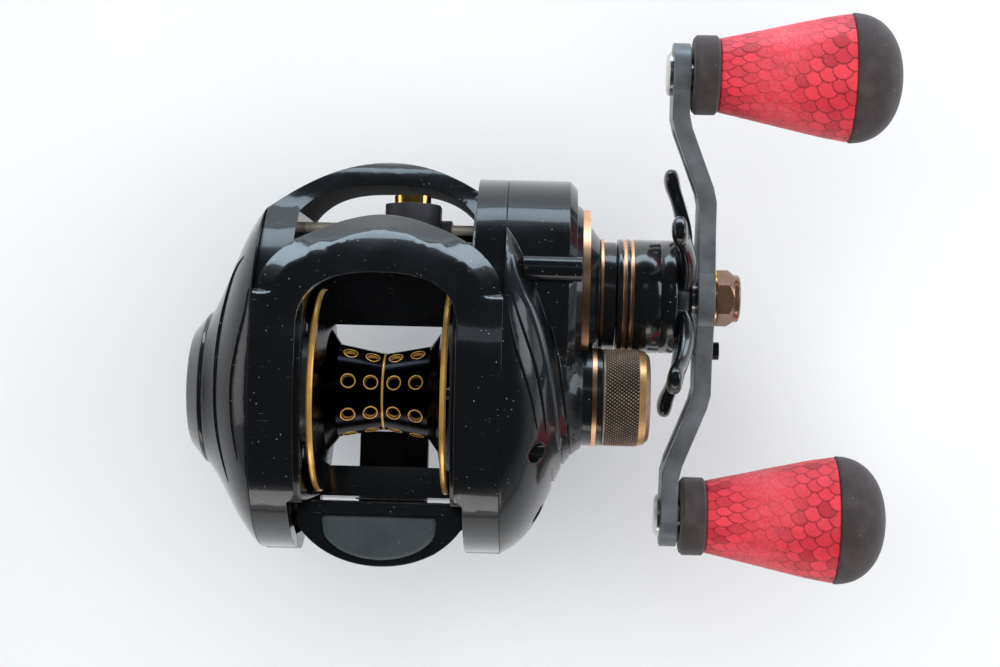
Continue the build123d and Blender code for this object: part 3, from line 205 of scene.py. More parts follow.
def lacquer(name, colour, flake, rough=0.16, speck=0.5, coat_rough=0.06, coat=0.9):
    """Gloss paint with a faint metallic flake, hairline scratches, smears and dust."""
    graph = Graph(name)
    flakes = graph.map(graph.cells(0.12), 0.1, 0.6, 1.0, 0.0)
    smear = graph.noise(11.0, 4.0, (1, 0.6, 1))
    scratch = graph.map(graph.noise(2.2, 2.0, (1, 9, 1)), 0.72, 0.76)
    painted = graph.mix(graph.maths("MULTIPLY", flakes, smear), colour, flake)
    painted = graph.mix(graph.maths("MULTIPLY", scratch, 0.12), painted, DUST)
    graph.bump(graph.noise(1.6, 2.0), 0.012, 0.22)
    return graph.finish(
        colour=dust(graph, painted, speck),
        rough=graph.map(smear, 0.3, 0.75, rough, rough + 0.14),
        coat=coat,
        coat_rough=coat_rough,
        metal=0.1,
        specular=0.25,
    )


def moulded(name, colour, light, rough=0.5, grain_mm=0.25, depth=0.03, speck=0.5):
    """Moulded plastic or rubber with a fine grain."""
    graph = Graph(name)
    patch = graph.noise(5.0, 4.0)
    grain = graph.noise(grain_mm, 3.0)
    graph.bump(grain, depth, 0.8)
    return graph.finish(
        colour=dust(graph, graph.mix(graph.map(patch, 0.3, 0.75), colour, light), speck),
        rough=graph.map(grain, 0.3, 0.7, rough - 0.07, rough + 0.1),
        specular=0.4,
    )


def rubber(name, colour, light):
    """Matte rubber with a worn, dusty skin."""
    graph = Graph(name)
    pores = graph.map(graph.cells(0.42), 0.12, 0.4)
    grain = graph.noise(0.16, 2.0)
    worn = graph.map(graph.noise(4.0, 5.0), 0.45, 0.75)
    graph.bump(pores, 0.035, 0.7)
    graph.bump(grain, 0.03, 0.8)
    base = graph.mix(worn, colour, light)
    base = graph.mix(graph.map(grain, 0.6, 0.8, 0.0, 0.5), base, shade(light, 1.5))
    return graph.finish(
        colour=dust(graph, base, 0.8),
        rough=graph.map(worn, 0.0, 1.0, 0.72, 0.9),
        specular=0.3,
        sheen=0.15,
        sheen_rough=0.5,
    )


def turned_metal(name, colour, dark, rough=0.22, pitch_mm=0.09, depth=0.006, metal=1.0):
    """Metal turned about the X axis: fine rings, small stains and changing gloss."""
    graph = Graph(name)
    rings = graph.noise(pitch_mm, 2.0, (1, 0.02, 0.02))
    stain = graph.map(graph.noise(3.0, 4.0), 0.5, 0.8)
    graph.bump(rings, depth, 0.6)
    return graph.finish(
        colour=graph.mix(graph.maths("MULTIPLY", stain, 0.6), colour, dark),
        rough=graph.map(rings, 0.3, 0.7, rough - 0.05, rough + 0.1),
        metal=metal,
    )


def blasted_metal(name, colour, dark, rough=0.45, coat=0.0, metal=0.85):
    """Bead-blasted, anodised metal with a fine grain and rubbed spots."""
    graph = Graph(name)
    grain = graph.noise(0.09, 2.0)
    rubbed = graph.map(graph.noise(6.0, 5.0), 0.35, 0.8)
    scratch = graph.map(graph.noise(1.6, 2.0, (7, 1, 1)), 0.7, 0.76)
    graph.bump(grain, 0.012, 0.7)
    base = graph.mix(rubbed, dark, colour)
    base = graph.mix(graph.maths("MULTIPLY", scratch, 0.2), base, shade(colour, 2.2))
    return graph.finish(
        colour=dust(graph, base, 0.3),
        rough=graph.map(grain, 0.3, 0.7, rough - 0.08, rough + 0.08),
        metal=metal,
        coat=coat,
        coat_rough=0.2,
    )


def knurled_metal(name, colour, cut):
    """Bronze-anodised metal, rubbed bright on the points of its knurl, with painted shade making its cuts
    dark.
    """
    graph = Graph(name)
    point = graph.attribute("point")
    grain = graph.noise(0.1, 2.0)
    stain = graph.noise(2.5, 4.0)
    # Painted shade: the point share takes the knurl's cuts to the near-black cut colour.
    base = graph.mix(point, cut, graph.mix(graph.map(stain, 0.35, 0.75), colour, shade(colour, 0.55)))
    graph.bump(grain, 0.008, 0.6)
    return graph.finish(colour=base, rough=graph.map(grain, 0.3, 0.7, 0.26, 0.42), metal=0.6)


BUNDLES_PER_METRE = 900


def woven_carbon(name):
    """Carbon cloth: crossing bundles of fibre under resin."""
    graph = Graph(name)
    bundle = graph.node(
        "ShaderNodeTexChecker",
        {"Vector": graph.stretched((BUNDLES_PER_METRE,) * 3), "Scale": 1.0},
    ).outputs["Fac"]
    strands = graph.noise(0.08, 2.0, (1, 6, 1))
    graph.bump(strands, 0.02, 0.6)
    return graph.finish(
        colour=graph.mix(bundle, rgb(0.018, 0.018, 0.02), rgb(0.05, 0.05, 0.055)),
        rough=graph.map(strands, 0.3, 0.7, 0.3, 0.5),
        metal=0.3,
    )


def scaled_leather(name):
    """Red reptile-pattern grip tape: dark outlines, uneven dye and greyed, rubbed spots."""
    graph = Graph(name)
    tone = graph.attribute("tone")
    edge = graph.attribute("edge")
    blotch = graph.noise(3.5, 4.0)
    rub = graph.attribute("rub")
    red = graph.mix(tone, rgb(0.42, 0.01, 0.024), rgb(0.84, 0.036, 0.062))
    red = graph.mix(graph.map(blotch, 0.52, 0.72, 0.0, 0.5), red, rgb(0.4, 0.016, 0.032))
    rubbed = graph.maths("MULTIPLY", rub, graph.map(graph.noise(0.5, 4.0), 0.38, 0.6))
    red = graph.mix(graph.maths("MULTIPLY", rubbed, 0.4), red, rgb(0.66, 0.2, 0.21))
    outlined = graph.mix(edge, rgb(0.09, 0.004, 0.008), red)
    grain = graph.noise(0.14, 3.0)
    graph.bump(grain, 0.03, 0.7)
    return graph.finish(
        colour=dust(graph, outlined, 0.6),
        rough=graph.map(grain, 0.3, 0.7, 0.38, 0.62),
        specular=0.5,
        coat=0.12,
        coat_rough=0.35,
    )


COPPER = rgb(0.83, 0.46, 0.27)
GOLD = rgb(0.88, 0.55, 0.16)
STEEL = rgb(0.6, 0.59, 0.56)
BLACK = rgb(0.004, 0.0042, 0.0048)
FLAKE = rgb(0.012, 0.018, 0.024)

FINISHES = {
    "body_black": lacquer("body_black", BLACK, FLAKE, 0.18, 0.8, 0.08, 0.5),
    "hood_black": lacquer("hood_black", BLACK, FLAKE, 0.14, 1.0),
    "foot_black": blasted_metal("foot_black", rgb(0.03, 0.03, 0.032), rgb(0.012, 0.012, 0.013), 0.4),
    "screw_black": blasted_metal("screw_black", rgb(0.045, 0.045, 0.05), rgb(0.015, 0.015, 0.017), 0.3),
    "copper_trim": turned_metal("copper_trim", COPPER, rgb(0.45, 0.2, 0.1), 0.34),
    "bearing_steel": turned_metal("bearing_steel", STEEL, rgb(0.3, 0.3, 0.3), 0.2),
    "rod_steel": turned_metal("rod_steel", rgb(0.6, 0.56, 0.48), rgb(0.2, 0.18, 0.15), 0.3, 0.3, metal=0.5),
    "spool_black": turned_metal("spool_black", rgb(0.012, 0.012, 0.014), rgb(0.03, 0.03, 0.034), 0.16),
    "shaft_steel": turned_metal("shaft_steel", STEEL, rgb(0.33, 0.31, 0.28), 0.24),
    "rotor_aluminium": blasted_metal("rotor_aluminium", rgb(0.6, 0.61, 0.62), rgb(0.45, 0.45, 0.46), 0.35),
    "dial_black": lacquer("dial_black", BLACK, FLAKE, 0.3),
    "magnet_holder_plastic": moulded("magnet_holder_plastic", rgb(0.03, 0.03, 0.032), rgb(0.05, 0.05, 0.05)),
    "magnet_nickel": turned_metal("magnet_nickel", rgb(0.66, 0.64, 0.6), rgb(0.45, 0.43, 0.4), 0.14),
    "gear_brass": turned_metal("gear_brass", rgb(0.8, 0.6, 0.28), rgb(0.45, 0.3, 0.12), 0.25),
    "yoke_plastic": moulded("yoke_plastic", rgb(0.03, 0.03, 0.032), rgb(0.05, 0.05, 0.05)),
    "spring_steel": turned_metal("spring_steel", STEEL, rgb(0.35, 0.33, 0.3), 0.2, 0.3),
    "thumb_bar_black": lacquer("thumb_bar_black", BLACK, FLAKE, 0.2, 0.7),
    "thumb_pad_rubber": moulded(
        "thumb_pad_rubber", rgb(0.035, 0.045, 0.05), rgb(0.05, 0.062, 0.068), 0.42, 0.18, 0.02
    ),
    "worm_steel": turned_metal("worm_steel", rgb(0.5, 0.48, 0.43), rgb(0.22, 0.2, 0.17), 0.3, metal=0.5),
    "guide_black": moulded("guide_black", rgb(0.018, 0.018, 0.022), rgb(0.035, 0.034, 0.042), 0.45),
    "guide_gold": turned_metal("guide_gold", rgb(0.95, 0.62, 0.16), rgb(0.6, 0.33, 0.06), 0.16),
    "carbon": woven_carbon("carbon"),
    "drag_steel": turned_metal("drag_steel", STEEL, rgb(0.35, 0.35, 0.35), 0.28),
    "star_black": lacquer("star_black", BLACK, FLAKE, 0.2, 0.5, 0.12),
    "crank_gunmetal": blasted_metal(
        "crank_gunmetal", rgb(0.23, 0.25, 0.27), rgb(0.1, 0.108, 0.116), 0.42, 0.15, 0.5
    ),
    "washer_gold": turned_metal("washer_gold", GOLD, rgb(0.5, 0.28, 0.08)),
    "nut_bronze": blasted_metal("nut_bronze", rgb(0.42, 0.25, 0.17), rgb(0.2, 0.115, 0.075), 0.22, 0.3, 0.82),
    "post_steel": turned_metal("post_steel", STEEL, rgb(0.33, 0.32, 0.3), 0.24),
    "knob_rubber": rubber("knob_rubber", rgb(0.04, 0.031, 0.032), rgb(0.075, 0.06, 0.061)),
    "grip_red": scaled_leather("grip_red"),
    # The second colour is painted shade for the knurl's cuts.
    "cast_bronze": knurled_metal("cast_bronze", rgb(0.52, 0.4, 0.31), rgb(0.012, 0.009, 0.008)),
}
RIM_GOLD = turned_metal("rim_gold", rgb(1.0, 0.58, 0.15), rgb(0.7, 0.34, 0.07), 0.3, metal=0.7)
BRONZE_GOLD = turned_metal("bronze_gold", rgb(0.85, 0.5, 0.2), rgb(0.5, 0.27, 0.1), 0.3, metal=0.8)
MATTE_BLACK = moulded("matte_black", rgb(0.006, 0.006, 0.007), rgb(0.012, 0.012, 0.013), 0.75)
# Painted highlight: a bluish sheen put into the colour of the wide rib on the gear side plate.
RIB_PAINTED_SHEEN = lacquer("rib_satin", rgb(0.008, 0.011, 0.014), rgb(0.03, 0.046, 0.058), 0.3, 0.8, 0.16)
COPPER_LINE = turned_metal("copper_line", COPPER, rgb(0.45, 0.2, 0.1), 0.34)


def slot_of(name):
    """The record's material slot of a CAD node, which is also its material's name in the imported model."""
    return nodes[name].data.materials[0].name.split(".")[0]


CAD_SLOTS = {name: slot_of(name) for name in nodes}
for name, thing in nodes.items():
    thing.data.materials[0] = FINISHES[CAD_SLOTS[name]]


# ---------------------------------------------------------------- crisp CAD edges
WELD_MM = 0.001
EDGE_ANGLE = math.radians(32)
EDGE_BEVELS = {  # bevel width in mm
    "frame": 0.12,
    "hood": 0.12,
    "palm_side_plate": 0.12,
    "gear_side_plate": 0.1,
    "handle_crank": 0.22,
    "handle_nut": 0.12,
    "line_guide": 0.12,
    "thumb_bar": 0.25,
    "oil_port": 0.1,
    "foot_front": 0.15,
    "foot_rear": 0.15,
    "brake_dial": 0.12,
}


def soften(name, width_mm):
    """Rounds a CAD node's sharp edges by a modifier, so that they catch the light."""
    thing = nodes[name]
    weld = thing.modifiers.new("weld", "WELD")
    weld.merge_threshold = WELD_MM * MM
    bevel = thing.modifiers.new("edges", "BEVEL")
    bevel.width = width_mm * MM
    bevel.segments = 2
    bevel.limit_method = "ANGLE"
    bevel.angle_limit = EDGE_ANGLE
    bevel.use_clamp_overlap = False
    bevel.harden_normals = True
    thing.modifiers.new("normals", "WEIGHTED_NORMAL").keep_sharp = True


for name, width_mm in EDGE_BEVELS.items():
    soften(name, width_mm)


# ---------------------------------------------------------------- second finishes on CAD pieces
def add_band(name, material, chosen):
    """Gives the polygons of a CAD node that pass the test another material."""
    thing = nodes[name]
    thing.data.materials.append(material)
    index = len(thing.data.materials) - 1
    for polygon in thing.data.polygons:
        if chosen(polygon):
            polygon.material_index = index


def radius_about(point, axis):
    """Distance of a point from an axis along X through another point."""
    return math.hypot(point.y - axis.y, point.z - axis.z)


spool_centre = centre("spool")
FLANGE_GOLD_R = 18.45 * MM  # the flanges' gold rims start at this radius
FLANGE_X = 11.1 * MM  # and this far from the middle
add_band(
    "spool",
    RIM_GOLD,
    lambda face: abs(face.center.x) > FLANGE_X and radius_about(face.center, spool_centre) > FLANGE_GOLD_R,
)
ARCH_Y = 28 * MM  # the frame's front arch starts here
ARCH_FACING = -0.2  # and its inner walls face back at least this much
add_band("frame", MATTE_BLACK, lambda face: face.center.y > ARCH_Y and face.normal.y < ARCH_FACING)


# ---------------------------------------------------------------- mesh helpers
def new_piece(name, points, faces, body, materials):
    """A smooth mesh piece, riding on its body."""
    mesh = bpy.data.meshes.new(name)
    mesh.from_pydata([tuple(p) for p in points], [], faces)
    mesh.update()
    mesh.validate()
    for material in materials:
        mesh.materials.append(material)
    mesh.polygons.foreach_set("use_smooth", np.ones(len(mesh.polygons), bool))
    piece = bpy.data.objects.new(name, mesh)
    bpy.context.scene.collection.objects.link(piece)
    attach(piece, body)
    return piece


def grid_faces(rows, columns, offset=0, closed=False):
    """Quads over rows of points, each row a closed ring. closed joins the last row to the first."""
    faces = []
    for i in range(rows if closed else rows - 1):
        here, there = offset + i * columns, offset + (i + 1) % rows * columns
        for j in range(columns):
            k = (j + 1) % columns
            faces.append((here + j, here + k, there + k, there + j))
    return faces


def store(piece, name, values):
    """Keeps a value at each of the piece's points, for its material."""
    layer = piece.data.attributes.new(name, "FLOAT", "POINT")
    layer.data.foreach_set("value", np.asarray(values, np.float32))


def rings_mesh(xs, wides, deeps, centre_yz, columns, heights=None):
    """Points of elliptical rings along X, each pushed outwards by its heights."""
    turn = np.linspace(0, 2 * math.pi, columns, endpoint=False)
    xs, wides, deeps = (np.asarray(v, float)[:, None] for v in (xs, wides, deeps))
    lift = 0.0 if heights is None else heights
    y = centre_yz[0] + (wides + lift) * np.cos(turn)
    z = centre_yz[1] + (deeps + lift) * np.sin(turn)
    x = xs + 0 * y
    return np.stack([x, y, z], -1).reshape(-1, 3)


def smooth_rows(rows, steps):
    """Rows of numbers with steps more between each pair, on a Catmull-Rom curve."""
    rows = [np.array(row, float) for row in rows]
    out = []
    for i in range(len(rows) - 1):
        a, b, c, d = rows[max(i - 1, 0)], rows[i], rows[i + 1], rows[min(i + 2, len(rows) - 1)]
        for k in range(steps):
            t = k / steps
            square = (2 * a - 5 * b + 4 * c - d) * t**2
            cube = (3 * b - a - 3 * c + d) * t**3
            out.append(0.5 * (2 * b + (c - a) * t + square + cube))
    return out + [rows[-1]]


# ---------------------------------------------------------------- gold eyelets and centre line on the spool
HOLE_ROWS = 8
HOLE_FIRST = math.radians(77.0)
HOLE_XS = (-6.15, -2.1, 2.1, 6.15)
ARBOR_R, ARBOR_SLOPE = 7.0, 1.6 / 8.3  # radius at the middle, and its growth per mm outwards
EYELET = (  # (radius, height over the arbor) in mm
    (0.985, -0.8),
    (0.985, -0.22),
    (1.06, -0.06),
    (1.2, 0.04),
    (1.34, 0.04),
    (1.4, -0.08),
)
EYELET_POINTS = 40
LINE_PROFILE = ((-0.24, -0.05), (-0.19, 0.05), (0.0, 0.12), (0.19, 0.05), (0.24, -0.05))
LINE_POINTS = 180
LINE_RISE = 0.02  # mm the centre line stands off the arbor


def eyelet_points(x, angle):
    """A flared ring set into the arbor at one hole."""
    points = []
    for radius, height in EYELET:
        for k in range(EYELET_POINTS):
            a = 2 * math.pi * k / EYELET_POINTS
            along, around = radius * math.cos(a), radius * math.sin(a)
            px = x + along
            level = ARBOR_R + abs(px) * ARBOR_SLOPE
            up = math.sqrt(max(level**2 - around**2, 0.0)) + height
            y = up * math.cos(angle) - around * math.sin(angle)
            z = up * math.sin(angle) + around * math.cos(angle)
            points.append((px, y, z))
    return points


points, faces = [], []
for row in range(HOLE_ROWS):
    for x in HOLE_XS:
        faces += grid_faces(len(EYELET), EYELET_POINTS, len(points))
        points += eyelet_points(x, HOLE_FIRST + 2 * math.pi * row / HOLE_ROWS)
new_piece("spool_eyelets", np.array(points) * MM, faces, "spool_body", [RIM_GOLD])

line_x = [p[0] for p in LINE_PROFILE]
line_r = [ARBOR_R + LINE_RISE + p[1] for p in LINE_PROFILE]
new_piece(
    "spool_centre_line",
    rings_mesh(line_x, line_r, line_r, (0, 0), LINE_POINTS) * MM,
    grid_faces(len(LINE_PROFILE), LINE_POINTS),
    "spool_body",
    [RIM_GOLD],
)


# ---------------------------------------------------------------- ribs on the side plates
RIBS = {  # plate: (width, height, (x, y) along the rib), in mm. A wide one has a bluish sheen painted into its colour, a painted highlight.
    "gear_side_plate": (
        (
            2.6,
            0.5,
            (
                (23.3, 25.0),
                (24.0, 21.4),
                (25.2, 18.4),
                (27.1, 14.9),
                (28.9, 10.0),
                (30.3, 4.0),
                (31.4, -1.4),
                (32.2, -6.6),
                (32.5, -9.6),
            ),
        ),
        (0.75, 0.4, ((23.3, 18.4), (24.5, 14.6), (26.1, 10.2), (27.9, 5.0), (29.3, -1.6), (30.1, -7.4))),
        (0.75, 0.4, ((22.6, 16.4), (23.9, 10.2), (25.6, 4.9), (27.3, -0.4), (28.5, -6.2))),
        (0.8, 0.4, ((30.4, 12.4), (31.2, 9.4), (32.1, 5.2), (33.0, -0.3), (33.6, -5.0))),
    ),
    "palm_side_plate": (
        (
            0.8,
            0.4,
            ((-24.6, 23.6), (-26.8, 20.2), (-28.3, 11.3), (-28.7, 1.5), (-28.2, -8.0), (-26.4, -17.0)),
        ),
        (
            0.8,
            0.4,
            ((-22.6, 17.6), (-23.0, 13.4), (-24.1, 8.1), (-25.1, 1.5), (-24.9, -6.0), (-23.8, -13.0)),
        ),
    ),
}
RIB_SECTION = (  # (across, up) as shares of the rib's width and height
    (-0.5, -0.5),
    (-0.5, -0.1),
    (-0.34, 0.5),
    (-0.12, 0.95),
    (0.12, 0.95),
    (0.34, 0.5),
    (0.5, -0.1),
    (0.5, -0.5),
)
RIB_END = 0.15  # share of its width that a rib keeps at its ends
RIB_DROP = 100.0  # mm, from above everything
RIB_STEPS = 14
PAINTED_SHEEN_RIB_WIDTH = 2.0  # from this width up, a rib gets the painted highlight finish
RIB_BLEND = 9  # points over which the surface's direction is averaged


def surface_of(node):
    """A CAD node's surface, to drop points on."""
    thing = nodes[node]
    corners = [thing.matrix_world @ vertex.co for vertex in thing.data.vertices]
    return BVHTree.FromPolygons(corners, [tuple(face.vertices) for face in thing.data.polygons])


def dropped_path(surface, path):
    """Points (mm) and surface directions under a path seen from above."""
    spots, ups = [], []
    for x, y in smooth_rows(path, RIB_STEPS):
        spot, up, _, _ = surface.ray_cast(Vector((x, y, RIB_DROP)) * MM, Vector((0, 0, -1)))
        if spot is not None:
            spots.append(np.array(spot) / MM)
            ups.append(np.array(up))
    ups = np.array(ups)
    window = np.ones(RIB_BLEND) / RIB_BLEND
    padded = np.pad(ups, ((RIB_BLEND // 2,) * 2, (0, 0)), mode="edge")
    ups = np.stack([np.convolve(padded[:, k], window, "valid") for k in range(3)], -1)
    return np.array(spots), ups / np.linalg.norm(ups, axis=1, keepdims=True)


def build_ribs(node):
    """Raised ribs that follow a side plate's curve, fading out at both ends."""
    surface = surface_of(node)
    points, faces, finishes = [], [], []
    count = len(RIB_SECTION)
    for width, height, path in RIBS[node]:
        spots, ups = dropped_path(surface, path)
        along = np.gradient(spots, axis=0)
        across = np.cross(along, ups)
        across /= np.linalg.norm(across, axis=1, keepdims=True)
        start = len(points)
        for k in range(len(spots)):
            share = max(math.sin(math.pi * k / (len(spots) - 1)), 0.0) ** 0.5
            wide, high = width * (RIB_END + (1 - RIB_END) * share), height * share
            for side, up in RIB_SECTION:
                points.append(spots[k] + across[k] * side * wide + ups[k] * up * high)
        faces += grid_faces(len(spots), count, start)
        faces.append(tuple(start + j for j in range(count)))
        faces.append(tuple(len(points) - 1 - j for j in range(count)))
        # The wide rib takes the painted highlight finish.
        finishes += [int(width > PAINTED_SHEEN_RIB_WIDTH)] * (len(faces) - len(finishes))
    piece = new_piece(
        f"{node}_ribs",
        np.array(points) * MM,
        faces,
        "frame_body",
        [FINISHES["body_black"], RIB_PAINTED_SHEEN],
    )
    piece.data.polygons.foreach_set("material_index", finishes)


for node in RIBS:
    build_ribs(node)


# ---------------------------------------------------------------- star drag
HUB_PROFILE = (  # (x, radius) in mm, with the grooves of the copper lines
    (42.4, 6.8),
    (42.4, 10.1),
    (42.5, 10.4),
    (42.75, 10.62),
    (43.0, 10.66),
    (43.5, 10.66),
    (43.58, 10.56),
    (44.16, 10.56),
    (44.24, 10.66),
    (44.86, 10.66),
    (44.94, 10.56),
    (45.46, 10.56),
    (45.54, 10.66),
    (50.36, 10.66),
    (50.42, 10.52),
    (50.58, 10.52),
    (50.64, 10.66),
    (52.9, 10.66),
    (53.3, 10.5),
    (53.56, 10.1),
    (53.7, 9.4),
    (55.6, 8.4),
    (56.2, 7.4),
    (56.5, 6.0),
    (56.5, 3.2),
)
HUB_COLUMNS = 160
COPPER_LINES = ((43.5, 44.24), (44.86, 45.54))  # x from and to, in mm
STAR_ARMS = 5
STAR_FIRST = math.radians(-10.0)
ARM_SECTIONS = (  # (radius, x, half width, half thickness) in mm
    (6.5, 54.6, 3.9, 1.5),
    (9.0, 55.2, 3.4, 1.6),
    (11.5, 55.3, 2.75, 1.55),
    (14.0, 55.1, 2.15, 1.45),
    (16.5, 54.6, 1.85, 1.35),
    (19.0, 53.9, 1.85, 1.35),
    (21.0, 53.2, 2.25, 1.45),
    (22.6, 52.85, 2.6, 1.5),
    (23.8, 52.75, 2.35, 1.35),
    (24.6, 52.75, 1.6, 0.95),
    (24.9, 52.75, 0.5, 0.35),
)
ARM_STEPS, ARM_COLUMNS = 6, 28
ARM_SQUARE = 0.8  # under 1 squares the arms' oval section a little


def build_star():
    """The star drag: a turned hub with copper lines, and five smooth arms with swollen tips."""
    axis = centre("drive_collar_ring") / MM
    hub_x = [row[0] for row in HUB_PROFILE]
    hub_r = [row[1] for row in HUB_PROFILE]
    points = [tuple(p) for p in rings_mesh(hub_x, hub_r, hub_r, (axis.y, axis.z), HUB_COLUMNS)]
    faces = grid_faces(len(HUB_PROFILE), HUB_COLUMNS)
    sections = smooth_rows(ARM_SECTIONS, ARM_STEPS)
    for arm in range(STAR_ARMS):
        angle = STAR_FIRST + 2 * math.pi * arm / STAR_ARMS
        out, side = (math.cos(angle), math.sin(angle)), (-math.sin(angle), math.cos(angle))
        start = len(points)
        for radius, x, wide, thick in sections:
            for k in range(ARM_COLUMNS):
                a = 2 * math.pi * k / ARM_COLUMNS
                across = wide * math.copysign(abs(math.cos(a)) ** ARM_SQUARE, math.cos(a))
                deep = thick * math.copysign(abs(math.sin(a)) ** ARM_SQUARE, math.sin(a))
                y = axis.y + out[0] * radius + side[0] * across
                z = axis.z + out[1] * radius + side[1] * across
                points.append((x + deep, y, z))
        faces += grid_faces(len(sections), ARM_COLUMNS, start)
        tip = len(points) - ARM_COLUMNS
        faces.append(tuple(tip + k for k in range(ARM_COLUMNS)))
    piece = new_piece(
        "star_wheel",
        np.array(points) * MM,
        faces,
        "star_body",
        [FINISHES["star_black"], COPPER_LINE],
    )
    for polygon in piece.data.polygons:
        x = polygon.center.x / MM
        if len(polygon.vertices) == 4 and any(a < x < b for a, b in COPPER_LINES):
            polygon.material_index = 1
    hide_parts("star_drag")


build_star()


# ---------------------------------------------------------------- thumb pad
PAD_OUTLINE = (  # (x, y) of the right half from the front, in mm
    (0.0, -22.75),
    (5.0, -22.75),
    (9.7, -22.8),
    (10.3, -23.1),
    (10.5, -23.7),
    (10.35, -24.8),
    (10.15, -26.0),
    (9.5, -27.2),
    (8.2, -28.4),
    (6.4, -29.5),
    (3.4, -30.5),
    (0.0, -30.9),
)
PAD_STEPS = 5
PAD_RISE = (  # (inset from the outline, rise over the bar) in mm
    (0.0, -0.05),
    (0.0, 0.45),
    (0.12, 0.78),
    (0.32, 1.0),
    (0.65, 1.13),
    (1.1, 1.18),
    (3.0, 1.26),
    (7.5, 1.3),
)
PAD_MIDDLE = (0.0, -26.4)
BAR_TOP = ((-22.3, 5.8), (-32.2, 3.0))  # (y, z) of the thumb bar's top, front and back
PAD_INSET_LIMIT = 0.97  # share of the way to the middle that an inset may take a point


def build_thumb_pad():
    """The soft pad on the thumb bar, with rounded edges and a slightly domed top."""
    half = smooth_rows(PAD_OUTLINE, PAD_STEPS)
    border = [tuple(p) for p in half] + [(-p[0], p[1]) for p in reversed(half[1:-1])]
    (front_y, front_z), (back_y, back_z) = BAR_TOP
    points = []
    for inset, rise in PAD_RISE:
        for x, y in border:
            dx, dy = PAD_MIDDLE[0] - x, PAD_MIDDLE[1] - y
            share = min(inset / max(math.hypot(dx, dy), 0.01), PAD_INSET_LIMIT)
            px, py = x + dx * share, y + dy * share
            base = front_z + (back_z - front_z) * (py - front_y) / (back_y - front_y)
            points.append((px, py, base + rise))
    count = len(border)
    faces = grid_faces(len(PAD_RISE), count)
    last = (len(PAD_RISE) - 1) * count
    faces.append(tuple(last + k for k in range(count)))
    piece = new_piece(
        "thumb_pad_soft",
        np.array(points) * MM,
        faces,
        "thumb_body",
        [FINISHES["thumb_pad_rubber"]],
    )
    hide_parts("thumb_pad")


build_thumb_pad()


# ---------------------------------------------------------------- handle knobs
GRIP_SHAPE = (  # (share of the length, then of the end's width and of its depth)
    (0.0, 0.575, 0.622),
    (0.227, 0.675, 0.694),
    (0.554, 0.825, 0.827),
    (0.82, 0.942, 0.939),
    (1.0, 1.0, 1.0),
)
GRIP_RINGS, GRIP_COLUMNS = 150, 420
SCALE_MM = 2.8  # width of a scale
SCALE_PITCH = 0.72  # distance between rows, in scale widths
SCALE_REACH = 0.66  # a scale's radius, in scale widths
SCALE_LEAN = math.radians(52)  # how far the scales' free ends turn from the grip's axis
GROOVE = 0.11  # the outline's width, in scale widths
TAPE_R = 9.6  # the radius at which the pattern keeps its size
GRIP_SINK = 0.12  # mm between the grip and the CAD surface it stands for
SCALE_LIFT = 0.1  # mm that a scale stands over its outline
SCALE_PUSH = 0.07  # how far a scale strays, in scale widths
SCALE_SPREAD = (0.92, 1.08)  # least and greatest share of the usual radius
ROLL = 0.35  # how far the tape's ends curl in, in mm
GRIP_BORE = 5.6  # mm, a radius
RUB_MIDDLE, RUB_SPREAD = 0.45, 0.24  # where along the grip hands have rubbed it, as shares of its length
RUB_START, RUB_LOSS = 1.25, 1.55  # how the outlines fade with rubbing
RUBBED_TONE = 0.85
CAP_RINGS, CAP_COLUMNS = 72, 160
CAP_POWER = 2.25  # 2 is an ellipse, and more is squarer
CAP_LIP = 0.25  # mm that the cap's rim is rounded in
CAP_LIP_LENGTH = 0.3  # mm
CAP_BORE = 4.9  # mm, a radius
CAP_TIP = 0.004  # share of its width at which the dome is closed


def interpolate(table, shares, column):
    """Values of a table's column at shares of the length, straight between its rows."""
    keys = [row[0] for row in table]
    values = [row[column] for row in table]
    return np.interp(shares, keys, values)


def scale_pattern(length, rows, columns, random):
    """Overlapping fish scales over a sleeve: (share of outline, tone of the scale, height) at each point."""
    along = np.linspace(0, length, rows)[:, None] + np.zeros((1, columns))
    turn = np.linspace(0, 2 * math.pi, columns, endpoint=False)[None, :] + np.zeros((rows, 1))
    around = ((turn + math.pi / 2) % (2 * math.pi)) * TAPE_R
    along = along + 0.5 * np.sin(around / 6.5 + 0.4) + 0.3 * np.sin(along / 2.9 + around / 4)
    around = around + 0.5 * np.sin(along / 4.1)
    down = (-along * math.cos(SCALE_LEAN) + around * math.sin(SCALE_LEAN)) / SCALE_MM
    across = (along * math.sin(SCALE_LEAN) + around * math.cos(SCALE_LEAN)) / SCALE_MM
    edge, tone, height = (np.zeros(along.shape) for _ in range(3))
    taken = np.zeros(along.shape, bool)
    for row in range(int(down.min() / SCALE_PITCH) - 1, int(down.max() / SCALE_PITCH) + 2):
        for column in range(int(across.min()) - 1, int(across.max()) + 2):
            push = random.uniform(-SCALE_PUSH, SCALE_PUSH, 2)
            reach = SCALE_REACH * random.uniform(*SCALE_SPREAD)
            tone_here = random.uniform(0, 1) ** 0.6
            side = across - column - 0.5 * (row % 2) - push[0]
            ahead = down - row * SCALE_PITCH - push[1]
            distance = np.hypot(side, ahead)
            inside = (distance < reach) & ~taken
            edge[inside] = reach - distance[inside]
            tone[inside] = tone_here
            height[inside] = 0.35 + 0.65 * distance[inside] / reach
            taken |= inside
    groove = np.clip(edge / GROOVE, 0, 1)
    return groove * groove * (3 - 2 * groove), tone, height


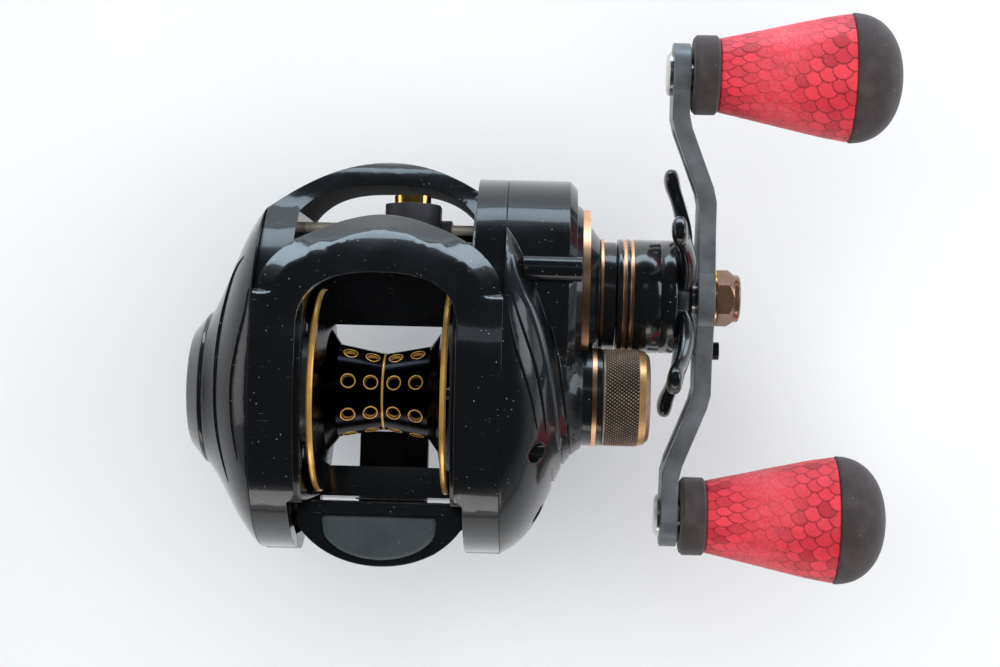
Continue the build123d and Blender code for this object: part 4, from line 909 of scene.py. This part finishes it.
def build_grip(place):
    """A knob's tape-wrapped grip, in its CAD sleeve's place."""
    node = f"knob_grip_{place}"
    low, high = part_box(node)
    middle = centre(node) / MM
    half_wide, half_deep = (high.y - low.y) / 2 / MM, (high.z - low.z) / 2 / MM
    random = np.random.default_rng(SEED + len(place))
    shares = np.linspace(0, 1, GRIP_RINGS)
    length = (high.x - low.x) / MM
    groove, tone, height = scale_pattern(length, GRIP_RINGS, GRIP_COLUMNS, random)
    from_end = np.minimum(shares, 1 - shares) * length
    curl = -ROLL * np.clip(1 - from_end / ROLL, 0, 1) ** 2
    lift = groove * height * SCALE_LIFT - GRIP_SINK + curl[:, None]
    turn = np.linspace(0, 2 * math.pi, GRIP_COLUMNS, endpoint=False)[None, :]
    middle_share = RUB_MIDDLE + 0.06 * np.sin(turn * 3 + len(place))
    rub = np.exp(-(((shares[:, None] - middle_share) / RUB_SPREAD) ** 2))
    rub = rub * (0.8 + 0.2 * np.sin(turn * 2 + 1))
    kept = np.clip(RUB_START - rub * RUB_LOSS, 0, 1)
    groove = 1 - (1 - groove) * kept
    height = height * (0.25 + 0.75 * kept)
    tone = RUBBED_TONE + (tone - RUBBED_TONE) * (0.15 + 0.85 * kept)
    sleeve = rings_mesh(
        low.x / MM + shares * length,
        half_wide * interpolate(GRIP_SHAPE, shares, 1),
        half_deep * interpolate(GRIP_SHAPE, shares, 2),
        (middle.y, middle.z),
        GRIP_COLUMNS,
        lift,
    )
    inner = [
        rings_mesh([x], [GRIP_BORE], [GRIP_BORE], (middle.y, middle.z), GRIP_COLUMNS)
        for x in (high.x / MM, low.x / MM)
    ]
    points = np.concatenate([sleeve, *inner]) * MM
    faces = grid_faces(GRIP_RINGS + 2, GRIP_COLUMNS, closed=True)
    piece = new_piece(
        f"grip_tape_{place}",
        points,
        faces,
        f"knob_{place}_body",
        [FINISHES["grip_red"]],
    )
    blank = np.zeros(2 * GRIP_COLUMNS)
    store(piece, "edge", np.concatenate([groove.ravel(), blank]))
    store(piece, "tone", np.concatenate([tone.ravel(), blank]))
    store(piece, "rub", np.concatenate([rub.ravel(), blank]))
    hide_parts(node)


def build_cap(place):
    """A knob's domed rubber end."""
    node = f"knob_cap_{place}"
    low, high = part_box(node)
    middle = centre(node) / MM
    half_wide, half_deep = (high.y - low.y) / 2 / MM, (high.z - low.z) / 2 / MM
    length = (high.x - low.x) / MM
    shares = np.sin(np.linspace(0, math.pi / 2, CAP_RINGS))
    dome = np.power(np.clip(1 - shares**CAP_POWER, 0, 1), 1 / CAP_POWER)
    dome[-1] = CAP_TIP
    lip = CAP_LIP * np.clip(1 - shares * length / CAP_LIP_LENGTH, 0, 1) ** 2
    outer = rings_mesh(
        low.x / MM + shares * length,
        half_wide * dome - lip,
        half_deep * dome - lip,
        (middle.y, middle.z),
        CAP_COLUMNS,
    )
    back = rings_mesh([low.x / MM], [CAP_BORE], [CAP_BORE], (middle.y, middle.z), CAP_COLUMNS)
    points = np.concatenate([back, outer]) * MM
    faces = grid_faces(CAP_RINGS + 1, CAP_COLUMNS)
    last = CAP_RINGS * CAP_COLUMNS
    faces.append(tuple(last + k for k in range(CAP_COLUMNS)))
    piece = new_piece(
        f"rubber_cap_{place}",
        points,
        faces,
        f"knob_{place}_body",
        [FINISHES["knob_rubber"]],
    )
    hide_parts(node)


for place in ("front", "rear"):
    build_grip(place)
    build_cap(place)


# ---------------------------------------------------------------- cast control knob
CAST_PROFILE = (  # (x from the inner end, radius) in mm
    (0.0, 6.6),
    (0.0, 8.75),
    (0.12, 8.9),
    (0.3, 9.0),
)
CAST_END = (  # (x from the inner end, radius) in mm, after the knurl
    (6.62, 8.98),
    (6.66, 8.9),
    (6.7, 8.88),
    (7.82, 8.6),
    (7.88, 8.56),
    (7.94, 8.4),
    (8.3, 8.05),
    (8.58, 7.75),
    (8.66, 7.4),
    (8.6, 7.0),
    (8.4, 6.6),
    (8.38, 4.0),
    (8.38, 1.5),
    (8.38, 0.02),
)
KNURL_FROM, KNURL_TO = 0.38, 6.55  # x from the inner end, in mm
KNURL_RINGS, CAST_COLUMNS = 76, 1008
KNURL_COUNT = 84  # cuts around the knob
KNURL_PITCH = 0.72  # mm along the knob for one cut
KNURL_DEPTH = 0.17  # mm
KNURL_R = 8.9  # mm, half way down the cuts
KNURL_TWIST = 0.72  # the second set of cuts' slant, as a share of the first's
KNURL_FADE = 0.12  # mm over which the knurl starts and ends
PLAIN_POINT = 0.6  # share of the way from the cuts' painted shade to the metal's rubbed colour, for the plain metal away from the knurl
GOLD_BAND = (6.6, 7.86)  # x from the inner end, in mm


def diamonds(along, turn):
    """Height of a diamond knurl, 0 in the cuts and 1 on the points."""
    one = turn * KNURL_COUNT / (2 * math.pi) + along / KNURL_PITCH
    other = turn * KNURL_COUNT / (2 * math.pi) - along / KNURL_PITCH * KNURL_TWIST
    return np.minimum(np.abs((one % 1) * 2 - 1), np.abs((other % 1) * 2 - 1))


def knurled_share(cut, rows, first):
    """How near each point is to the top of the knurl, and one value for the plain metal."""
    share = np.full((rows, CAST_COLUMNS), PLAIN_POINT)
    band = slice(first, first + KNURL_RINGS)
    share[band] = np.clip(cut[band] / KNURL_DEPTH + 0.5, 0, 1) ** 0.8
    return share.ravel()


def build_cast_knob():
    """The knurled tension knob with its gold band, in its CAD solid's place."""
    low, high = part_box("cast_control_knob")
    middle = centre("cast_control_knob") / MM
    knurl_x = np.linspace(KNURL_FROM, KNURL_TO, KNURL_RINGS)
    start_x, start_r = zip(*CAST_PROFILE)
    end_x, end_r = zip(*CAST_END)
    xs = np.concatenate([start_x, knurl_x, end_x])
    radii = np.concatenate([start_r, np.full(KNURL_RINGS, KNURL_R), end_r])
    turn = np.linspace(0, 2 * math.pi, CAST_COLUMNS, endpoint=False)[None, :]
    cut = np.zeros((len(xs), CAST_COLUMNS))
    first = len(CAST_PROFILE)
    shape = diamonds(knurl_x[:, None], turn)
    fade = np.clip(np.minimum(knurl_x - KNURL_FROM, KNURL_TO - knurl_x) / KNURL_FADE, 0, 1)[:, None]
    cut[first : first + KNURL_RINGS] = (shape - 0.5) * KNURL_DEPTH * 2 * fade
    points = rings_mesh(low.x / MM + xs, radii, radii, (middle.y, middle.z), CAST_COLUMNS, cut)
    rows = len(xs)
    faces = grid_faces(rows, CAST_COLUMNS)
    last = (rows - 1) * CAST_COLUMNS
    faces.append(tuple(last + k for k in range(CAST_COLUMNS)))
    piece = new_piece(
        "tension_knob",
        points * MM,
        faces,
        "cast_knob_body",
        [FINISHES["cast_bronze"], BRONZE_GOLD],
    )
    store(piece, "point", knurled_share(cut, rows, first))
    start = low.x / MM
    for polygon in piece.data.polygons:
        if GOLD_BAND[0] < polygon.center.x / MM - start < GOLD_BAND[1]:
            polygon.material_index = 1
    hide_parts("cast_control_knob")


build_cast_knob()


# ---------------------------------------------------------------- floor and light
FLOOR_HALF = 3.0  # metres
FLOOR_GAP = 1.0 * MM  # left under the lowest place that the handle's knobs reach as it turns


def lowest_sweep():
    """The lowest height that any piece turning with the handle comes to."""
    axis = centre("drive_collar_ring")
    reach = 0.0
    for node in ("knob_cap_front", "knob_cap_rear"):
        low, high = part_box(node)
        for y in (low.y, high.y):
            for z in (low.z, high.z):
                reach = max(reach, math.hypot(y - axis.y, z - axis.z))
    return axis.z - reach


def pale_floor():
    """A plain pale sheet that the object clears in every pose."""
    graph = Graph("floor")
    tone = graph.map(graph.noise(60.0, 3.0), 0.3, 0.7)
    graph.bump(graph.noise(1.2, 3.0), 0.01, 0.3)
    material = graph.finish(
        colour=graph.mix(tone, rgb(0.86, 0.87, 0.88), rgb(0.89, 0.895, 0.9)),
        rough=graph.map(tone, 0.0, 1.0, 0.75, 0.85),
        specular=0.1,
    )
    z = min(cad_low.z, lowest_sweep()) - FLOOR_GAP
    signs = ((-1, -1), (1, -1), (1, 1), (-1, 1))
    corners = [(x * FLOOR_HALF, y * FLOOR_HALF, z) for x, y in signs]
    mesh = bpy.data.meshes.new("floor")
    mesh.from_pydata(corners, [], [(0, 1, 2, 3)])
    mesh.materials.append(material)
    sheet = bpy.data.objects.new("floor", mesh)
    bpy.context.scene.collection.objects.link(sheet)


pale_floor()

LAMPS = (  # name, place and size in metres, brightness, colour, whether gloss mirrors it
    ("front", (0.1, 1.0, 0.13), (1.5, 0.3), 6.0, (0.7, 0.87, 1.0), True),
    ("left", (-1.0, 0.05, 0.22), (0.6, 0.3), 1.7, (1.0, 0.96, 0.97), True),
    ("right", (1.0, 0.3, 0.3), (0.5, 0.4), 3.6, (0.82, 0.92, 1.0), True),
    ("back", (0.05, -1.0, 0.2), (1.0, 0.25), 2.2, (1.0, 0.97, 0.94), True),
    ("top", (0.12, 0.12, 0.9), (1.5, 1.2), 2.4, (1.0, 0.99, 0.985), False),
    ("glint", (0.05, 0.28, 0.8), (0.3, 0.1), 0.8, (0.75, 0.88, 1.0), True),
)
AIM = (cad_low + cad_high) / 2
WORLD_LOW, WORLD_HIGH = 0.02, 0.42  # sines of the heights where the walls end and the ceiling starts
WALL_LIGHT, CEILING_LIGHT = 0.6, 0.03
WORLD_COLOUR = rgb(0.93, 0.96, 1.0)

for name, place, size, brightness, colour, mirrored in LAMPS:
    lamp = bpy.data.lights.new(name, "AREA")
    lamp.shape = "RECTANGLE"
    lamp.size, lamp.size_y = size
    lamp.energy = brightness * math.pi * size[0] * size[1]
    lamp.color = colour
    holder = bpy.data.objects.new(name, lamp)
    holder.location = place
    holder.visible_glossy = mirrored
    holder.rotation_mode = "QUATERNION"
    holder.rotation_quaternion = (AIM - Vector(place)).to_track_quat("-Z", "Y")
    bpy.context.scene.collection.objects.link(holder)

world = bpy.data.worlds.new("studio")
world.use_nodes = True
tree = world.node_tree
background = tree.nodes["Background"]
ray = tree.nodes.new("ShaderNodeTexCoord")
split = tree.nodes.new("ShaderNodeSeparateXYZ")
tree.links.new(ray.outputs["Generated"], split.inputs[0])
height = tree.nodes.new("ShaderNodeMapRange")
tree.links.new(split.outputs["Z"], height.inputs["Value"])
limits = {"From Min": WORLD_LOW, "From Max": WORLD_HIGH, "To Min": WALL_LIGHT, "To Max": CEILING_LIGHT}
for key, value in limits.items():
    height.inputs[key].default_value = value
tree.links.new(height.outputs["Result"], background.inputs["Strength"])
background.inputs["Color"].default_value = WORLD_COLOUR
bpy.context.scene.world = world
bpy.context.scene.view_settings.view_transform = "Standard"
